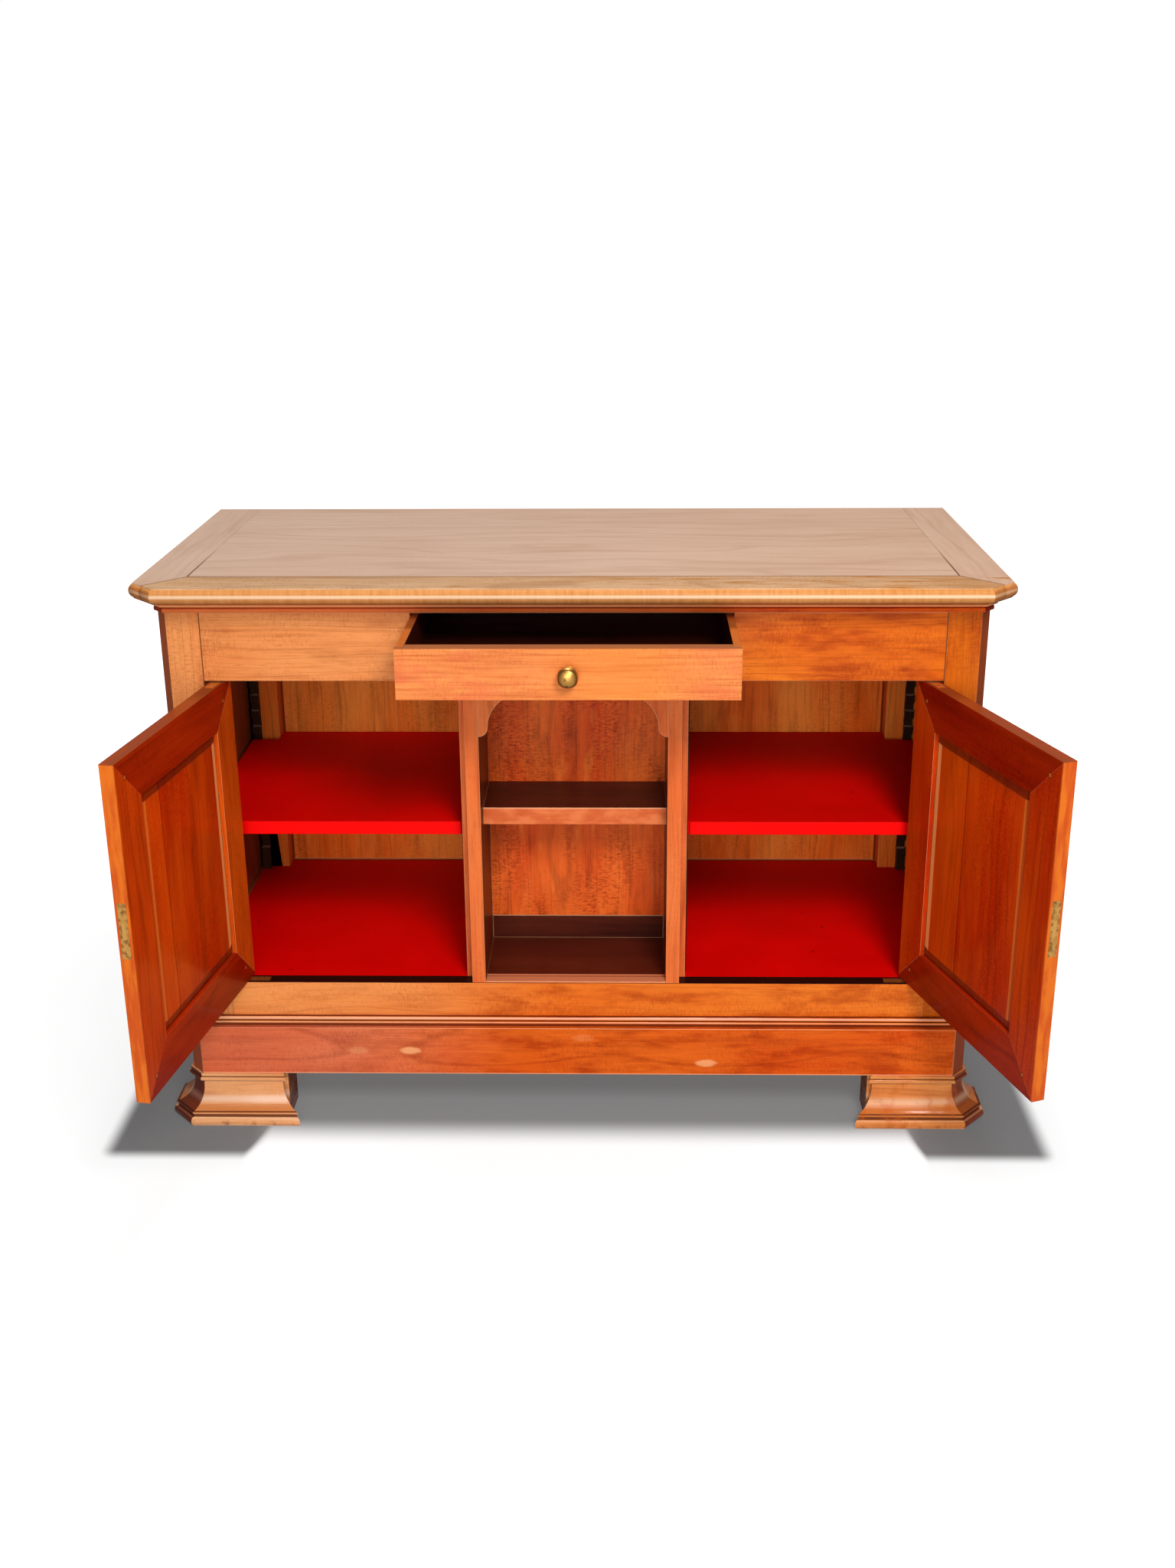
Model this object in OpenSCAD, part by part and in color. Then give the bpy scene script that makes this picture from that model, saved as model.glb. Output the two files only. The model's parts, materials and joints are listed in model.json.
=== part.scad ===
// Buffet cabinet: two doors on centre pivots, an open niche between them and one frieze drawer.
// Millimetres. X runs along the front, Y from front to back, Z up from the floor.
// It is drawn as it stands open: both doors swung out and the drawer part pulled out.

/* [Overall] */
// Height to the top face
height = 1000; // [960:5:1060]
// Width across the sides, without mouldings
carcass_w = 1348; // [1300:2:1420]
// Depth from the frieze's face to the back's outer face
carcass_d = 545; // [500:5:600]

/* [Top] */
// Thickness of the top boards
top_t = 26; // [20:1:30]
// How far the top stands out at the front
top_front_over = 74; // [50:1:84]
// How far the top stands out at each side
top_side_over = 31; // [26:1:40]
// How far the top stands out at the back
top_back_over = 10; // [4:1:20]
// Width and depth of the cut-off front corners of the top
top_cant = 46; // [32:1:54]
// Width of the boards that frame the top
top_rail_w = 85; // [70:1:100]
// Height of the moulding under the top
cornice_h = 30; // [28:1:40]
// How far the moulding under the top stands out
cornice_out = 14; // [12:1:20]

/* [Posts] */
// Width of a front post
post_w = 70; // [60:1:80]
// Depth of a front post
post_d = 55; // [48:1:66]
// Width and depth of the cut-off corner of a front post
post_cant = 15; // [10:1:20]
// Width of a rear post
rear_post_w = 74; // [62:1:84]
// Depth of a rear post
rear_post_d = 55; // [45:1:66]

/* [Front] */
// Thickness of the rails, frieze and apron in the front
front_t = 24; // [21:1:28]
// Height of the rail over the drawer
lintel_h = 32; // [31:1:44]
// Height of the frieze board
frieze_h = 114.5; // [104:0.5:130]
// Height of the frieze under the drawer
frieze_under = 32.1; // [26:0.1:44]
// Visible height of the rail under the doors
rail_face_h = 62.5; // [52:0.5:76]
// Hidden height of that rail behind the plinth
rail_hidden_h = 60; // [40:1:80]
// Half of the niche's clear width
niche_half = 157; // [120:1:190]
// Width of a centre stile's face
stile_face = 23.2; // [20:0.2:30]
// How far the stile behind it stands out as the door's stop
stile_stop = 11; // [6:0.5:14]
// Depth of a centre stile behind the doors
stile_back_d = 20.5; // [16:0.5:30]
// Thickness of the boards beside the niche
partition_t = 20; // [16:1:24]

/* [Niche] */
// Depth of the niche from the front
niche_d = 166; // [120:1:220]
// Thickness of the niche's back
niche_back_t = 13; // [10:1:18]
// Height of the rail at the foot of the niche's back
niche_rail_h = 46; // [34:1:60]
// Thickness of that rail
niche_rail_t = 18; // [15:1:24]
// Height of the niche shelf's top face over the rail
niche_shelf_up = 313; // [240:1:340]
// Thickness of the niche shelf
niche_shelf_t = 31; // [20:1:34]
// Distance of the niche shelf's front edge from the frieze's face
niche_shelf_set = 41; // [30:1:60]
// How much higher the niche's floor lies than the rail
niche_step = 3; // [2:0.5:6]
// Height of the apron at the stiles
apron_h = 98; // [88:1:110]
// Height of the apron in the middle
apron_mid_h = 23; // [14:0.5:32]
// Radius of the arch's corners
arch_r = 59; // [40:1:64]
// Radius of the rounded shoulder at each foot of the arch
shoulder_r = 16; // [12:1:20]

/* [Base] */
// Height of the feet
foot_h = 99; // [84:1:115]
// Height of the plinth
plinth_h = 92; // [80:1:110]
// Thickness of the plinth on the posts
plinth_t = 13; // [10:1:18]
// Height of the moulding on the plinth
base_mould_h = 20.5; // [18:0.5:24]
// Width of a foot at its top, from the post's outer side
foot_w = 150.5; // [136:0.5:180]
// Depth of a foot, from the post's face
foot_d = 66; // [56:1:90]
// How far a foot flares out at the front
flare_front = 17; // [12:1:22]
// How far a foot flares out at the outer side
flare_side = 44; // [30:1:50]
// How far a foot flares out at the cut-off corner
flare_cant = 30; // [20:1:36]
// How far a front foot flares out at the slanting end of its face
flare_inner = 8.5; // [4:0.5:14]

/* [Doors] */
// How far the left door stands open, in degrees
left_open = 99.3; // [80:0.1:115]
// How far the right door stands open, in degrees
right_open = 108.8; // [80:0.1:115]
// Thickness of a door
door_t = 22; // [20:1:24]
// How far the doors lie behind the frieze's face
door_set = 1.5; // [1:0.1:2]
// Gap over and under a door
door_gap = 2; // [1.5:0.1:3]
// Gap at a door's closing edge
lead_gap = 1.5; // [1:0.1:2.5]
// Gap between a door's rounded edge and the post
hinge_gap = 1; // [0.8:0.1:1.5]
// Distance of the pivot from the post
pivot_in = 22; // [20:0.5:24]
// Width of a door's stile at the hinge side
hinge_stile_w = 70; // [64:1:84]
// Width of a door's stile at the lock side
lock_stile_w = 74; // [66:1:86]
// Width of a door's rails
door_rail_w = 74; // [66:1:86]
// Thickness of the tongue of a panel
tongue_t = 6; // [5:0.5:7]
// Depth of the grooves for the panels
groove_d = 9; // [7:0.5:11]
// Width of the bevel round a door panel
bevel_w = 18; // [14:1:24]
// Thickness of a door panel's field
field_t = 13; // [11:0.5:15]

/* [Pivots and locks] */
// Radius of a pivot's pin
pin_r = 4; // [3.5:0.1:5]
// How deep the pin reaches into its socket
pin_deep = 9; // [7:0.5:12]
// Length of a pivot's plate
plate_l = 52; // [46:1:58]
// Width of a pivot's plate
plate_w = 14; // [12:1:16]
// Thickness of a pivot's plate
plate_t = 3; // [2.5:0.5:4]
// Length of a lock's front plate
lock_l = 90; // [80:1:100]
// Width of a lock's front plate
lock_w = 14; // [12:1:16]
// Thickness of a lock's front plate
lock_t = 2.5; // [2:0.1:3]
// Height of a lock's middle over the rail under the doors
lock_up = 291; // [240:1:330]
// Depth of a lock's case
case_d = 34; // [30:1:40]
// Height of a lock's case
case_h = 62; // [54:1:70]
// Thickness of a lock's case
case_t = 11; // [9.5:0.5:12]
// Height of a bolt
bolt_h = 28; // [22:1:34]
// Thickness of a bolt
bolt_t = 6; // [5:0.5:7]
// Travel of a bolt
bolt_travel = 8; // [6:0.5:9]

/* [Drawer] */
// Width of the drawer
drawer_w = 521.4; // [480:0.2:560]
// Length of the drawer
drawer_l = 460; // [400:5:480]
// How far the drawer stands out
drawer_out = 196; // [120:2:240]
// Thickness of the drawer's front
drawer_front_t = 22; // [18:1:24]
// Thickness of the drawer's sides and back
drawer_side_t = 12; // [10:0.5:14]
// Thickness of the drawer's bottom
drawer_bottom_t = 7; // [6:0.5:9]
// Gap at each side of the drawer
drawer_gap = 1; // [0.6:0.1:1.5]
// Thickness of the drawer's runners
runner_t = 20; // [16:1:22]
// Height of the guides beside the drawer
guide_h = 24; // [18:1:30]
// Width of the guides
guide_w = 22; // [18:1:30]
// Radius of the knob
knob_r = 16.5; // [13:0.5:19]
// How far the knob stands out
knob_out = 28; // [26:1:36]

/* [Sides and back] */
// Thickness of the side rails
side_t = 22; // [20:1:24]
// Height of the upper side rails
side_top_h = 80; // [64:1:110]
// Thickness of the side panels
side_panel_t = 12; // [10:0.5:14]
// Thickness of the back's frame
back_frame_t = 14; // [12:0.5:18]
// Thickness of the back's panels
back_panel_t = 10; // [8:0.5:12]
// Height of the upper back rail
back_top_h = 150; // [120:1:170]
// Width of the back's uprights
muntin_w = 70; // [50:1:90]

/* [Shelves] */
// Thickness of the floors
floor_t = 20; // [18:1:24]
// Thickness of the shelves
shelf_t = 24; // [20:1:28]
// Height of the shelves' top faces over the rail
shelf_up = 280.4; // [230:0.2:330]
// Distance of the shelves' front edges from the frieze's face
shelf_set = 57; // [50:1:75]
// Width of a toothed rack
rack_w = 17; // [14:1:20]
// Depth of a toothed rack
rack_d = 14; // [12:1:16]
// Distance between two notches of a rack
notch_pitch = 32.5; // [28:0.5:38]
// Height of a notch
notch_h = 16; // [14:1:18]
// Depth of a notch
notch_d = 9; // [7:0.5:10]
// Height of the cleats that lie in the notches
cleat_h = 15; // [12:0.5:17]

/* [Fits] */
// Gap round a tongue or tenon in its recess
joint_gap = 0.1; // [0.05:0.05:0.3]
// Gap at a mitre between two solids of one piece
mitre_gap = 0.2; // [0.1:0.05:0.4]
// Radial gap round a pivot's pin
pin_gap = 0.05; // [0.02:0.01:0.09]
// Gap round a sliding bolt
bolt_gap = 0.15; // [0.1:0.05:0.3]
// Gap between the drawer and what it runs on
run_gap = 0.3; // [0.2:0.05:0.5]

/* [Hidden] */
$fn = 48;

cherry = "peru";
cherry_light = "burlywood";
cherry_deep = "sienna";
red_felt = "firebrick";
far = 3000;
arc_steps = 12;

// Heights of the front's parts, from the top down and from the floor up
half_w = carcass_w/2;
top_z = height - top_t;
cornice_z = top_z - cornice_h;
lintel_z = top_z - lintel_h;
frieze_z = lintel_z - frieze_h;
notch_z = frieze_z + frieze_under;
mould_z = foot_h + plinth_h;
rail_z = mould_z + base_mould_h;
rail_top = rail_z + rail_face_h;
rail_low = rail_z - rail_hidden_h;
floor_top = rail_top - 1;
niche_top = rail_top + niche_step;
shelf_z = rail_top + shelf_up - shelf_t;
niche_shelf_z = rail_top + niche_shelf_up - niche_shelf_t;

// Places along X and Y
post_in = half_w - post_w;
rear_in = half_w - rear_post_w;
post_arris = half_w - post_cant;
rear_face = carcass_d - rear_post_d;
back_face = carcass_d - back_frame_t - back_panel_t;
side_in = half_w - side_t;
stile_out = niche_half + stile_face;
stop_out = stile_out + stile_stop;
door_back = door_set + door_t;
stop_y = door_back + 1;
stile_end = stop_y + stile_back_d;
partition_out = niche_half + partition_t;
runner_top = notch_z - run_gap;
runner_z = runner_top - runner_t;

// The tenons' sizes
tenon_l = 26;
tenon_t = 9;
stile_tenon_l = 22;
stile_tenon_w = 14;
back_tenon_t = 8;
rail_tenon_in = 12;
lintel_tenon_in = 6;

// The top's outline and its joints
top_half = half_w + top_side_over;
top_arris = top_half - top_cant;
top_back = carcass_d + top_back_over;
top_joint_x = top_half - top_rail_w;
top_joint_y = top_rail_w - top_front_over;
top_tongue = 8;
top_tongue_t = 6;

// A door's own place: the pivot is its origin, X runs to the lock side, Y inwards
pivot_x = post_in - pivot_in;
pivot_y = door_set + door_t/2;
hinge_r = pivot_in - hinge_gap;
door_lead = pivot_x - stile_out - lead_gap;
door_z0 = rail_top + door_gap;
door_z1 = frieze_z - door_gap;
hinge_stile_end = hinge_stile_w - hinge_r;
lock_stile_start = door_lead - lock_stile_w;
lock_z = rail_top + lock_up;
bolt_l = case_d - bolt_travel;

// The drawer's own place, as if it were shut
drawer_half = drawer_w/2;
drawer_z0 = notch_z;
drawer_z1 = lintel_z - 1.2;
drawer_mid = (drawer_z0 + drawer_z1)/2;
drawer_in = drawer_half - drawer_side_t;
bottom_z = drawer_z0 + 8;
bottom_tongue = 5;
guide_x = drawer_half + drawer_gap;
shank_r = 3;

// The whole is centred on its own box, doors and drawer standing open as drawn
function reach(angle) = pivot_y - door_lead*sin(angle) - abs(cos(angle))*door_t/2;
front_most = min(reach(left_open), reach(right_open), -drawer_out - knob_out);
centre_y = (front_most + top_back)/2;

// Angles in equal steps from a to b
function steps(a, b) = [for (i = [0:arc_steps]) a + (b - a)*i/arc_steps];
// Points of an arc round [x, y]
function arc(x, y, r, a, b) = [for (t = steps(a, b)) [x + r*cos(t), y + r*sin(t)]];

module placed() {
    translate([0, -centre_y, 0]) children();
}

module block(x, y, z) {
    translate([x[0], y[0], z[0]]) cube([x[1] - x[0], y[1] - y[0], z[1] - z[0]]);
}

// A block with room left round it, for a recess
module room(x, y, z, gap = joint_gap) {
    block([x[0] - gap, x[1] + gap], [y[0] - gap, y[1] + gap], [z[0] - gap, z[1] + gap]);
}

// An outline of [how far out, height] points, drawn along X with its face to the front
module along_x(points, low, high) {
    outline = concat([for (p = points) [-p[0], p[1]]], [[far, high], [far, low]]);
    rotate([90, 0, 90]) linear_extrude(height = far, center = true) polygon(outline);
}

// A block shaped by one outline on its front, its sides and its cut-off front corners
module moulded(points, low, high, front, side, arris, out = [1, 1, 1]) {
    faces = [[0, -front, 0, out[0]], [-arris, -front, -45, out[1]], [arris, -front, 45, out[1]],
        [-side, 0, -90, out[2]], [side, 0, 90, out[2]]];
    intersection_for(face = faces) {
        translate([face[0], face[1], 0]) rotate([0, 0, face[2]])
            along_x([for (p = points) [p[0]*face[3], p[1]]], low, high);
    }
}

// The carcass's own outline, straight up
module carcass_space(low, high) {
    moulded([[0, low], [0, high]], low, high, 0, half_w, post_arris);
    block([-post_in, post_in], [0, carcass_d], [low, high]);
}

// The part of the plan in front of the corner mitres
module front_wedge(x, y, gap = 0) {
    translate([0, 0, -far/2]) linear_extrude(height = far)
        polygon([[-x + gap, y], [x - gap, y], [x + far - gap, y - far], [-x - far + gap, y - far]]);
}

// TOP
// The rounded edge of the boards
top_edge = concat(
    [[-top_t/4 - 0.5, top_z]],
    arc(-top_t/2, top_z + top_t/2, top_t/2, -60, 60),
    [[-top_t/4 - 0.5, height]]);

module top_blank() {
    moulded(top_edge, top_z, height, top_front_over, top_half, top_arris);
}

module top_tongue_ring(gap) {
    z = (top_z + height)/2 - top_tongue_t/2;
    block([-top_joint_x - top_tongue - gap, top_joint_x + top_tongue + gap],
        [top_joint_y - top_tongue - gap, top_back + 1], [z - gap, z + top_tongue_t + gap]);
}

module top_field() {
    color(cherry_light) placed() {
        block([-top_joint_x, top_joint_x], [top_joint_y, top_back], [top_z, height]);
        intersection() {
            top_tongue_ring(0);
            block([-far, far], [0, top_back], [0, height]);
        }
    }
}

module top_front_rail() {
    color(cherry_light) placed() difference() {
        intersection() {
            top_blank();
            front_wedge(top_joint_x, top_joint_y);
        }
        top_tongue_ring(joint_gap);
    }
}

module top_end_rail() {
    difference() {
        intersection() {
            top_blank();
            block([-far, -top_joint_x], [-far, top_back], [top_z, height]);
        }
        front_wedge(top_joint_x, top_joint_y);
        top_tongue_ring(joint_gap);
    }
}

module top_left_rail() {
    color(cherry_light) placed() top_end_rail();
}

module top_right_rail() {
    color(cherry_light) placed() mirror([1, 0, 0]) top_end_rail();
}

// A flat strip, a groove, a bead, a small cove and a flat board under the top
cornice_edge = concat(
    [[4, cornice_z], [5.5, cornice_z + 1], [5.5, cornice_z + 6.5], [3, cornice_z + 7.5], [3, cornice_z + 9]],
    arc(7.5, cornice_z + 12.5, 2.8, -75, 75),
    [[6.5, cornice_z + 16], [6.5, cornice_z + 17.5]],
    arc(cornice_out, cornice_z + 18.5, cornice_out - 7.5, 180, 100),
    [[cornice_out, cornice_z + 26], [cornice_out, top_z]]);

// A moulding round the front and the sides of the carcass
module ring(points, low, high) {
    difference() {
        intersection() {
            moulded(points, low, high, 0, half_w, post_arris);
            block([-far, far], [-far, carcass_d], [low, high]);
        }
        moulded([[0, low - 1], [0, high + 1]], low - 1, high + 1, 0, half_w, post_arris);
    }
}

// The space between the two mitres at the front arrises
module mitre_wedge(gap = 0) {
    x = post_arris - gap;
    run = far*tan(22.5);
    inner = 10*tan(22.5);
    linear_extrude(height = far)
        polygon([[-x + inner, 10], [x - inner, 10], [x + run, -far], [-x - run, -far]]);
}

module front_length(points, low, high) {
    intersection() {
        ring(points, low, high);
        mitre_wedge(mitre_gap);
    }
}

module side_lengths(points, low, high) {
    difference() {
        ring(points, low, high);
        mitre_wedge();
    }
}

module cornice_moulding() {
    color(cherry) placed() {
        front_length(cornice_edge, cornice_z, top_z);
        side_lengths(cornice_edge, cornice_z, top_z);
    }
}

// FRONT
module front_tenons(low, high, gap = 0) {
    y = front_t/2;
    block([-post_in - tenon_l - gap, post_in + tenon_l + gap],
        [y - tenon_t/2 - gap, y + tenon_t/2 + gap], [low - gap, high + gap]);
}

module front_mortises() {
    front_tenons(lintel_z + lintel_tenon_in, top_z - lintel_tenon_in, joint_gap);
    front_tenons(frieze_z + rail_tenon_in, lintel_z - rail_tenon_in, joint_gap);
    front_tenons(rail_low + rail_tenon_in, rail_top - rail_tenon_in, joint_gap);
}

module front_top_rail() {
    color(cherry) placed() {
        block([-post_in, post_in], [0, front_t], [lintel_z, top_z]);
        front_tenons(lintel_z + lintel_tenon_in, top_z - lintel_tenon_in);
    }
}

module frieze_board() {
    color(cherry) placed() difference() {
        union() {
            block([-post_in, post_in], [0, front_t], [frieze_z, lintel_z]);
            front_tenons(frieze_z + rail_tenon_in, lintel_z - rail_tenon_in);
        }
        block([-guide_x, guide_x], [-1, front_t + 1], [notch_z - run_gap, lintel_z + 1]);
        stile_tenons(joint_gap);
        socket_rooms();
    }
}

module bottom_rail() {
    color(cherry) placed() difference() {
        union() {
            block([-post_in, post_in], [0, front_t], [rail_low, rail_top]);
            front_tenons(rail_low + rail_tenon_in, rail_top - rail_tenon_in);
        }
        stile_tenons(joint_gap);
        socket_rooms();
        floor_tongues(joint_gap);
    }
}

module front_post() {
    difference() {
        intersection() {
            carcass_space(foot_h, top_z);
            block([-half_w - 1, -post_in], [-1, post_d], [foot_h, top_z]);
        }
        front_mortises();
        side_tenons(joint_gap);
        side_panel_space(joint_gap);
    }
}

module left_front_post() {
    color(cherry) placed() front_post();
}

module right_front_post() {
    color(cherry) placed() mirror([1, 0, 0]) front_post();
}

// SIDES
module side_tenons(gap = 0) {
    x = -half_w + side_t/2;
    for (z = [[rail_low + rail_tenon_in, rail_top - rail_tenon_in],
            [top_z - side_top_h + rail_tenon_in, top_z - rail_tenon_in]])
        block([x - tenon_t/2 - gap, x + tenon_t/2 + gap],
            [post_d - tenon_l - gap, rear_face + tenon_l + gap], [z[0] - gap, z[1] + gap]);
}

module side_panel_space(gap = 0) {
    x = -half_w + side_t/2;
    block([x - tongue_t/2 - gap, x + tongue_t/2 + gap],
        [post_d - groove_d - gap, rear_face + groove_d + gap],
        [rail_top - groove_d - gap, top_z - side_top_h + groove_d + gap]);
}

module side_rails() {
    difference() {
        union() {
            block([-half_w, -side_in], [post_d, rear_face], [rail_low, rail_top]);
            block([-half_w, -side_in], [post_d, rear_face], [top_z - side_top_h, top_z]);
            side_tenons();
        }
        side_panel_space(joint_gap);
    }
}

module left_side_rails() {
    color(cherry) placed() side_rails();
}

module right_side_rails() {
    color(cherry) placed() mirror([1, 0, 0]) side_rails();
}

module side_panel() {
    x = -half_w + side_t/2;
    side_panel_space();
    block([x - side_panel_t/2, x + side_panel_t/2], [post_d + 0.5, rear_face - 0.5],
        [rail_top + 0.5, top_z - side_top_h - 0.5]);
}

module side_panels() {
    color(cherry) placed() {
        side_panel();
        mirror([1, 0, 0]) side_panel();
    }
}

// BACK
module rear_post() {
    difference() {
        block([-half_w, -rear_in], [rear_face, carcass_d], [foot_h, top_z]);
        back_tenons(joint_gap);
        side_tenons(joint_gap);
        side_panel_space(joint_gap);
    }
}

module left_rear_post() {
    color(cherry_deep) placed() rear_post();
}

module right_rear_post() {
    color(cherry_deep) placed() mirror([1, 0, 0]) rear_post();
}

module back_tenons(gap = 0) {
    y = carcass_d - back_frame_t/2;
    for (z = [[rail_low + rail_tenon_in, rail_top - rail_tenon_in],
            [top_z - back_top_h + rail_tenon_in, top_z - rail_tenon_in]])
        block([-rear_in - tenon_l - gap, rear_in + tenon_l + gap],
            [y - back_tenon_t/2 - gap, y + back_tenon_t/2 + gap], [z[0] - gap, z[1] + gap]);
}

module back_frame() {
    y = [carcass_d - back_frame_t, carcass_d];
    color(cherry_deep) placed() {
        block([-rear_in, rear_in], y, [rail_low, rail_top]);
        block([-rear_in, rear_in], y, [top_z - back_top_h, top_z]);
        back_tenons();
        for (x = [muntin_w/2 - rear_in, -partition_out, partition_out, rear_in - muntin_w/2])
            block([x - muntin_w/2, x + muntin_w/2], y,
                [rail_top + mitre_gap, top_z - back_top_h - mitre_gap]);
    }
}

// Each panel has a small bevel round its inner face
module back_panel(x0, x1) {
    z0 = floor_top;
    z1 = top_z - back_top_h + 40;
    y1 = carcass_d - back_frame_t;
    bevel = 4;
    intersection() {
        translate([0, 0, z0]) linear_extrude(height = z1 - z0)
            polygon([[x0, y1], [x1, y1], [x1, back_face + bevel], [x1 - bevel, back_face],
                [x0 + bevel, back_face], [x0, back_face + bevel]]);
        translate([x0, 0, 0]) rotate([90, 0, 90]) linear_extrude(height = x1 - x0)
            polygon([[y1, z0], [y1, z1], [back_face + bevel, z1], [back_face, z1 - bevel],
                [back_face, z0 + bevel], [back_face + bevel, z0]]);
    }
}

module back_panels() {
    middle = partition_out - partition_t/2;
    color(cherry_deep) placed() {
        back_panel(-rear_in + 1, -middle - 0.5);
        back_panel(-middle + 0.5, middle - 0.5);
        back_panel(middle + 0.5, rear_in - 1);
    }
}

// MIDDLE
module stile_tenons(gap = 0) {
    for (side = [-1, 1]) {
        x = side*(niche_half + stile_face/2);
        block([x - stile_tenon_w/2 - gap, x + stile_tenon_w/2 + gap],
            [front_t/2 - tenon_t/2 - gap, front_t/2 + tenon_t/2 + gap],
            [rail_top - stile_tenon_l - gap, frieze_z + stile_tenon_l + gap]);
    }
}

module centre_stile() {
    difference() {
        union() {
            block([-stile_out, -niche_half], [0, stop_y], [rail_top, frieze_z]);
            block([-stop_out, -niche_half], [stop_y, stile_end], [floor_top, runner_z]);
            intersection() {
                stile_tenons();
                block([-far, 0], [0, far], [0, far]);
            }
        }
        // The pocket that takes the bolt of the shut door
        block([-stile_out - 1, -stile_out + bolt_travel - lead_gap + 1.5],
            [pivot_y - bolt_t/2 - 1, pivot_y + bolt_t/2 + 1],
            [lock_z - bolt_h/2 - 1.5, lock_z + bolt_h/2 + 1.5]);
    }
}

module left_centre_stile() {
    color(cherry) placed() centre_stile();
}

module right_centre_stile() {
    color(cherry) placed() mirror([1, 0, 0]) centre_stile();
}

module partition() {
    block([-partition_out, -niche_half], [stile_end, back_face], [floor_top, runner_z]);
}

module left_partition() {
    color(cherry_deep) placed() partition();
}

module right_partition() {
    color(cherry_deep) placed() mirror([1, 0, 0]) partition();
}

module niche_apron() {
    low = frieze_z - apron_h;
    arch_top = frieze_z - apron_mid_h;
    arch_half = niche_half - shoulder_r;
    color(cherry) placed() translate([0, front_t, 0]) rotate([90, 0, 0])
        linear_extrude(height = front_t) difference() {
            translate([-niche_half, low]) square([2*niche_half, apron_h]);
            translate([-arch_half + arch_r, arch_top - arch_r]) square([2*(arch_half - arch_r), arch_r]);
            for (side = [-1, 1])
                translate([side*(arch_half - arch_r), arch_top - arch_r]) circle(arch_r, $fn = 96);
            translate([-arch_half, low - 1]) square([2*arch_half, arch_top - arch_r - low + 1]);
            difference() {
                translate([-niche_half - 1, low - 1]) square([2*niche_half + 2, shoulder_r + 1]);
                for (side = [-1, 1]) translate([side*niche_half, low + shoulder_r]) circle(shoulder_r);
            }
        }
}

module niche_back() {
    color(cherry) placed()
        block([-niche_half, niche_half], [niche_d, niche_d + niche_back_t],
            [niche_top + niche_rail_h, runner_z]);
}

module niche_back_rail() {
    color(cherry_deep) placed()
        block([-niche_half, niche_half], [niche_d, niche_d + niche_rail_t],
            [niche_top, niche_top + niche_rail_h]);
}

module niche_shelf() {
    color(cherry_deep) placed()
        block([-niche_half, niche_half], [niche_shelf_set, niche_d],
            [niche_shelf_z, niche_shelf_z + niche_shelf_t]);
}

module niche_floor() {
    color(cherry) placed() {
        block([-niche_half, niche_half], [0, front_t], [rail_top, niche_top]);
        block([-niche_half, niche_half], [front_t, niche_d + niche_rail_t], [floor_top - floor_t, niche_top]);
    }
}

// FLOORS AND SHELVES
module floor_tongues(gap = 0) {
    z = floor_top - floor_t/2;
    for (side = [-1, 1])
        block([side < 0 ? -post_in + 4 : niche_half + 4, side < 0 ? -niche_half - 4 : post_in - 4],
            [front_t - 7 - gap, front_t + 1], [z - 4 - gap, z + 4 + gap]);
}

module side_floor() {
    difference() {
        union() {
            block([-side_in, -niche_half - joint_gap], [front_t, back_face],
                [floor_top - floor_t, floor_top]);
            intersection() {
                floor_tongues();
                block([-far, 0], [0, far], [0, far]);
            }
        }
        block([-far, -post_in + 0.5], [-1, post_d + 0.5], [0, far]);
        block([-far, -rear_in + 0.5], [rear_face - 0.5, far], [0, far]);
    }
}

module left_floor() {
    color(red_felt) placed() side_floor();
}

module right_floor() {
    color(red_felt) placed() mirror([1, 0, 0]) side_floor();
}

// The boards are cut out round the posts and the racks
module side_shelf() {
    rack_in = -partition_out - rack_w - 3;
    difference() {
        block([-side_in + 1, -partition_out - 1], [shelf_set, back_face - 1], [shelf_z, shelf_z + shelf_t]);
        block([-far, -post_in + 1], [-1, post_d + rack_d + 1], [0, far]);
        block([-far, -rear_in + 1], [rear_face - rack_d - 1, far], [0, far]);
        block([rack_in, 0], [-1, stile_end + rack_d + 1], [0, far]);
        block([rack_in, 0], [back_face - rack_d - 1, far], [0, far]);
    }
}

module left_shelf() {
    color(red_felt) placed() side_shelf();
}

module right_shelf() {
    color(red_felt) placed() mirror([1, 0, 0]) side_shelf();
}

// A pair of racks beside the outer side and a pair on the board beside the niche:
// the middle in X, the front rack's back and the rear rack's back
function rack_pairs() = [
    [-side_in + rack_w/2, post_d, rear_face],
    [-partition_out - rack_w/2, stile_end, back_face]];

rack_z1 = frieze_z + 8;
cleat_z = shelf_z - cleat_h;
notches_down = floor((cleat_z - floor_top - 20)/notch_pitch);
notches_up = floor((rack_z1 - cleat_z - notch_h - 20)/notch_pitch);

module rack() {
    difference() {
        block([-rack_w/2, rack_w/2], [0, rack_d], [floor_top, rack_z1]);
        for (i = [-notches_down:notches_up])
            block([-rack_w, rack_w], [rack_d - notch_d, rack_d + 1],
                [cleat_z + i*notch_pitch, cleat_z + i*notch_pitch + notch_h]);
    }
}

module shelf_racks() {
    color(cherry_deep) placed() for (side = [0, 1], pair = rack_pairs()) mirror([side, 0, 0]) {
        translate([pair[0], pair[1], 0]) rack();
        translate([pair[0], pair[2], 0]) mirror([0, 1, 0]) rack();
    }
}

module shelf_cleats() {
    inset = rack_d - notch_d + 0.5;
    color(cherry_deep) placed() for (side = [0, 1], pair = rack_pairs()) mirror([side, 0, 0])
        block([pair[0] - rack_w/2 + 0.5, pair[0] + rack_w/2 - 0.5], [pair[1] + inset, pair[2] - inset],
            [cleat_z, shelf_z]);
}

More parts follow.
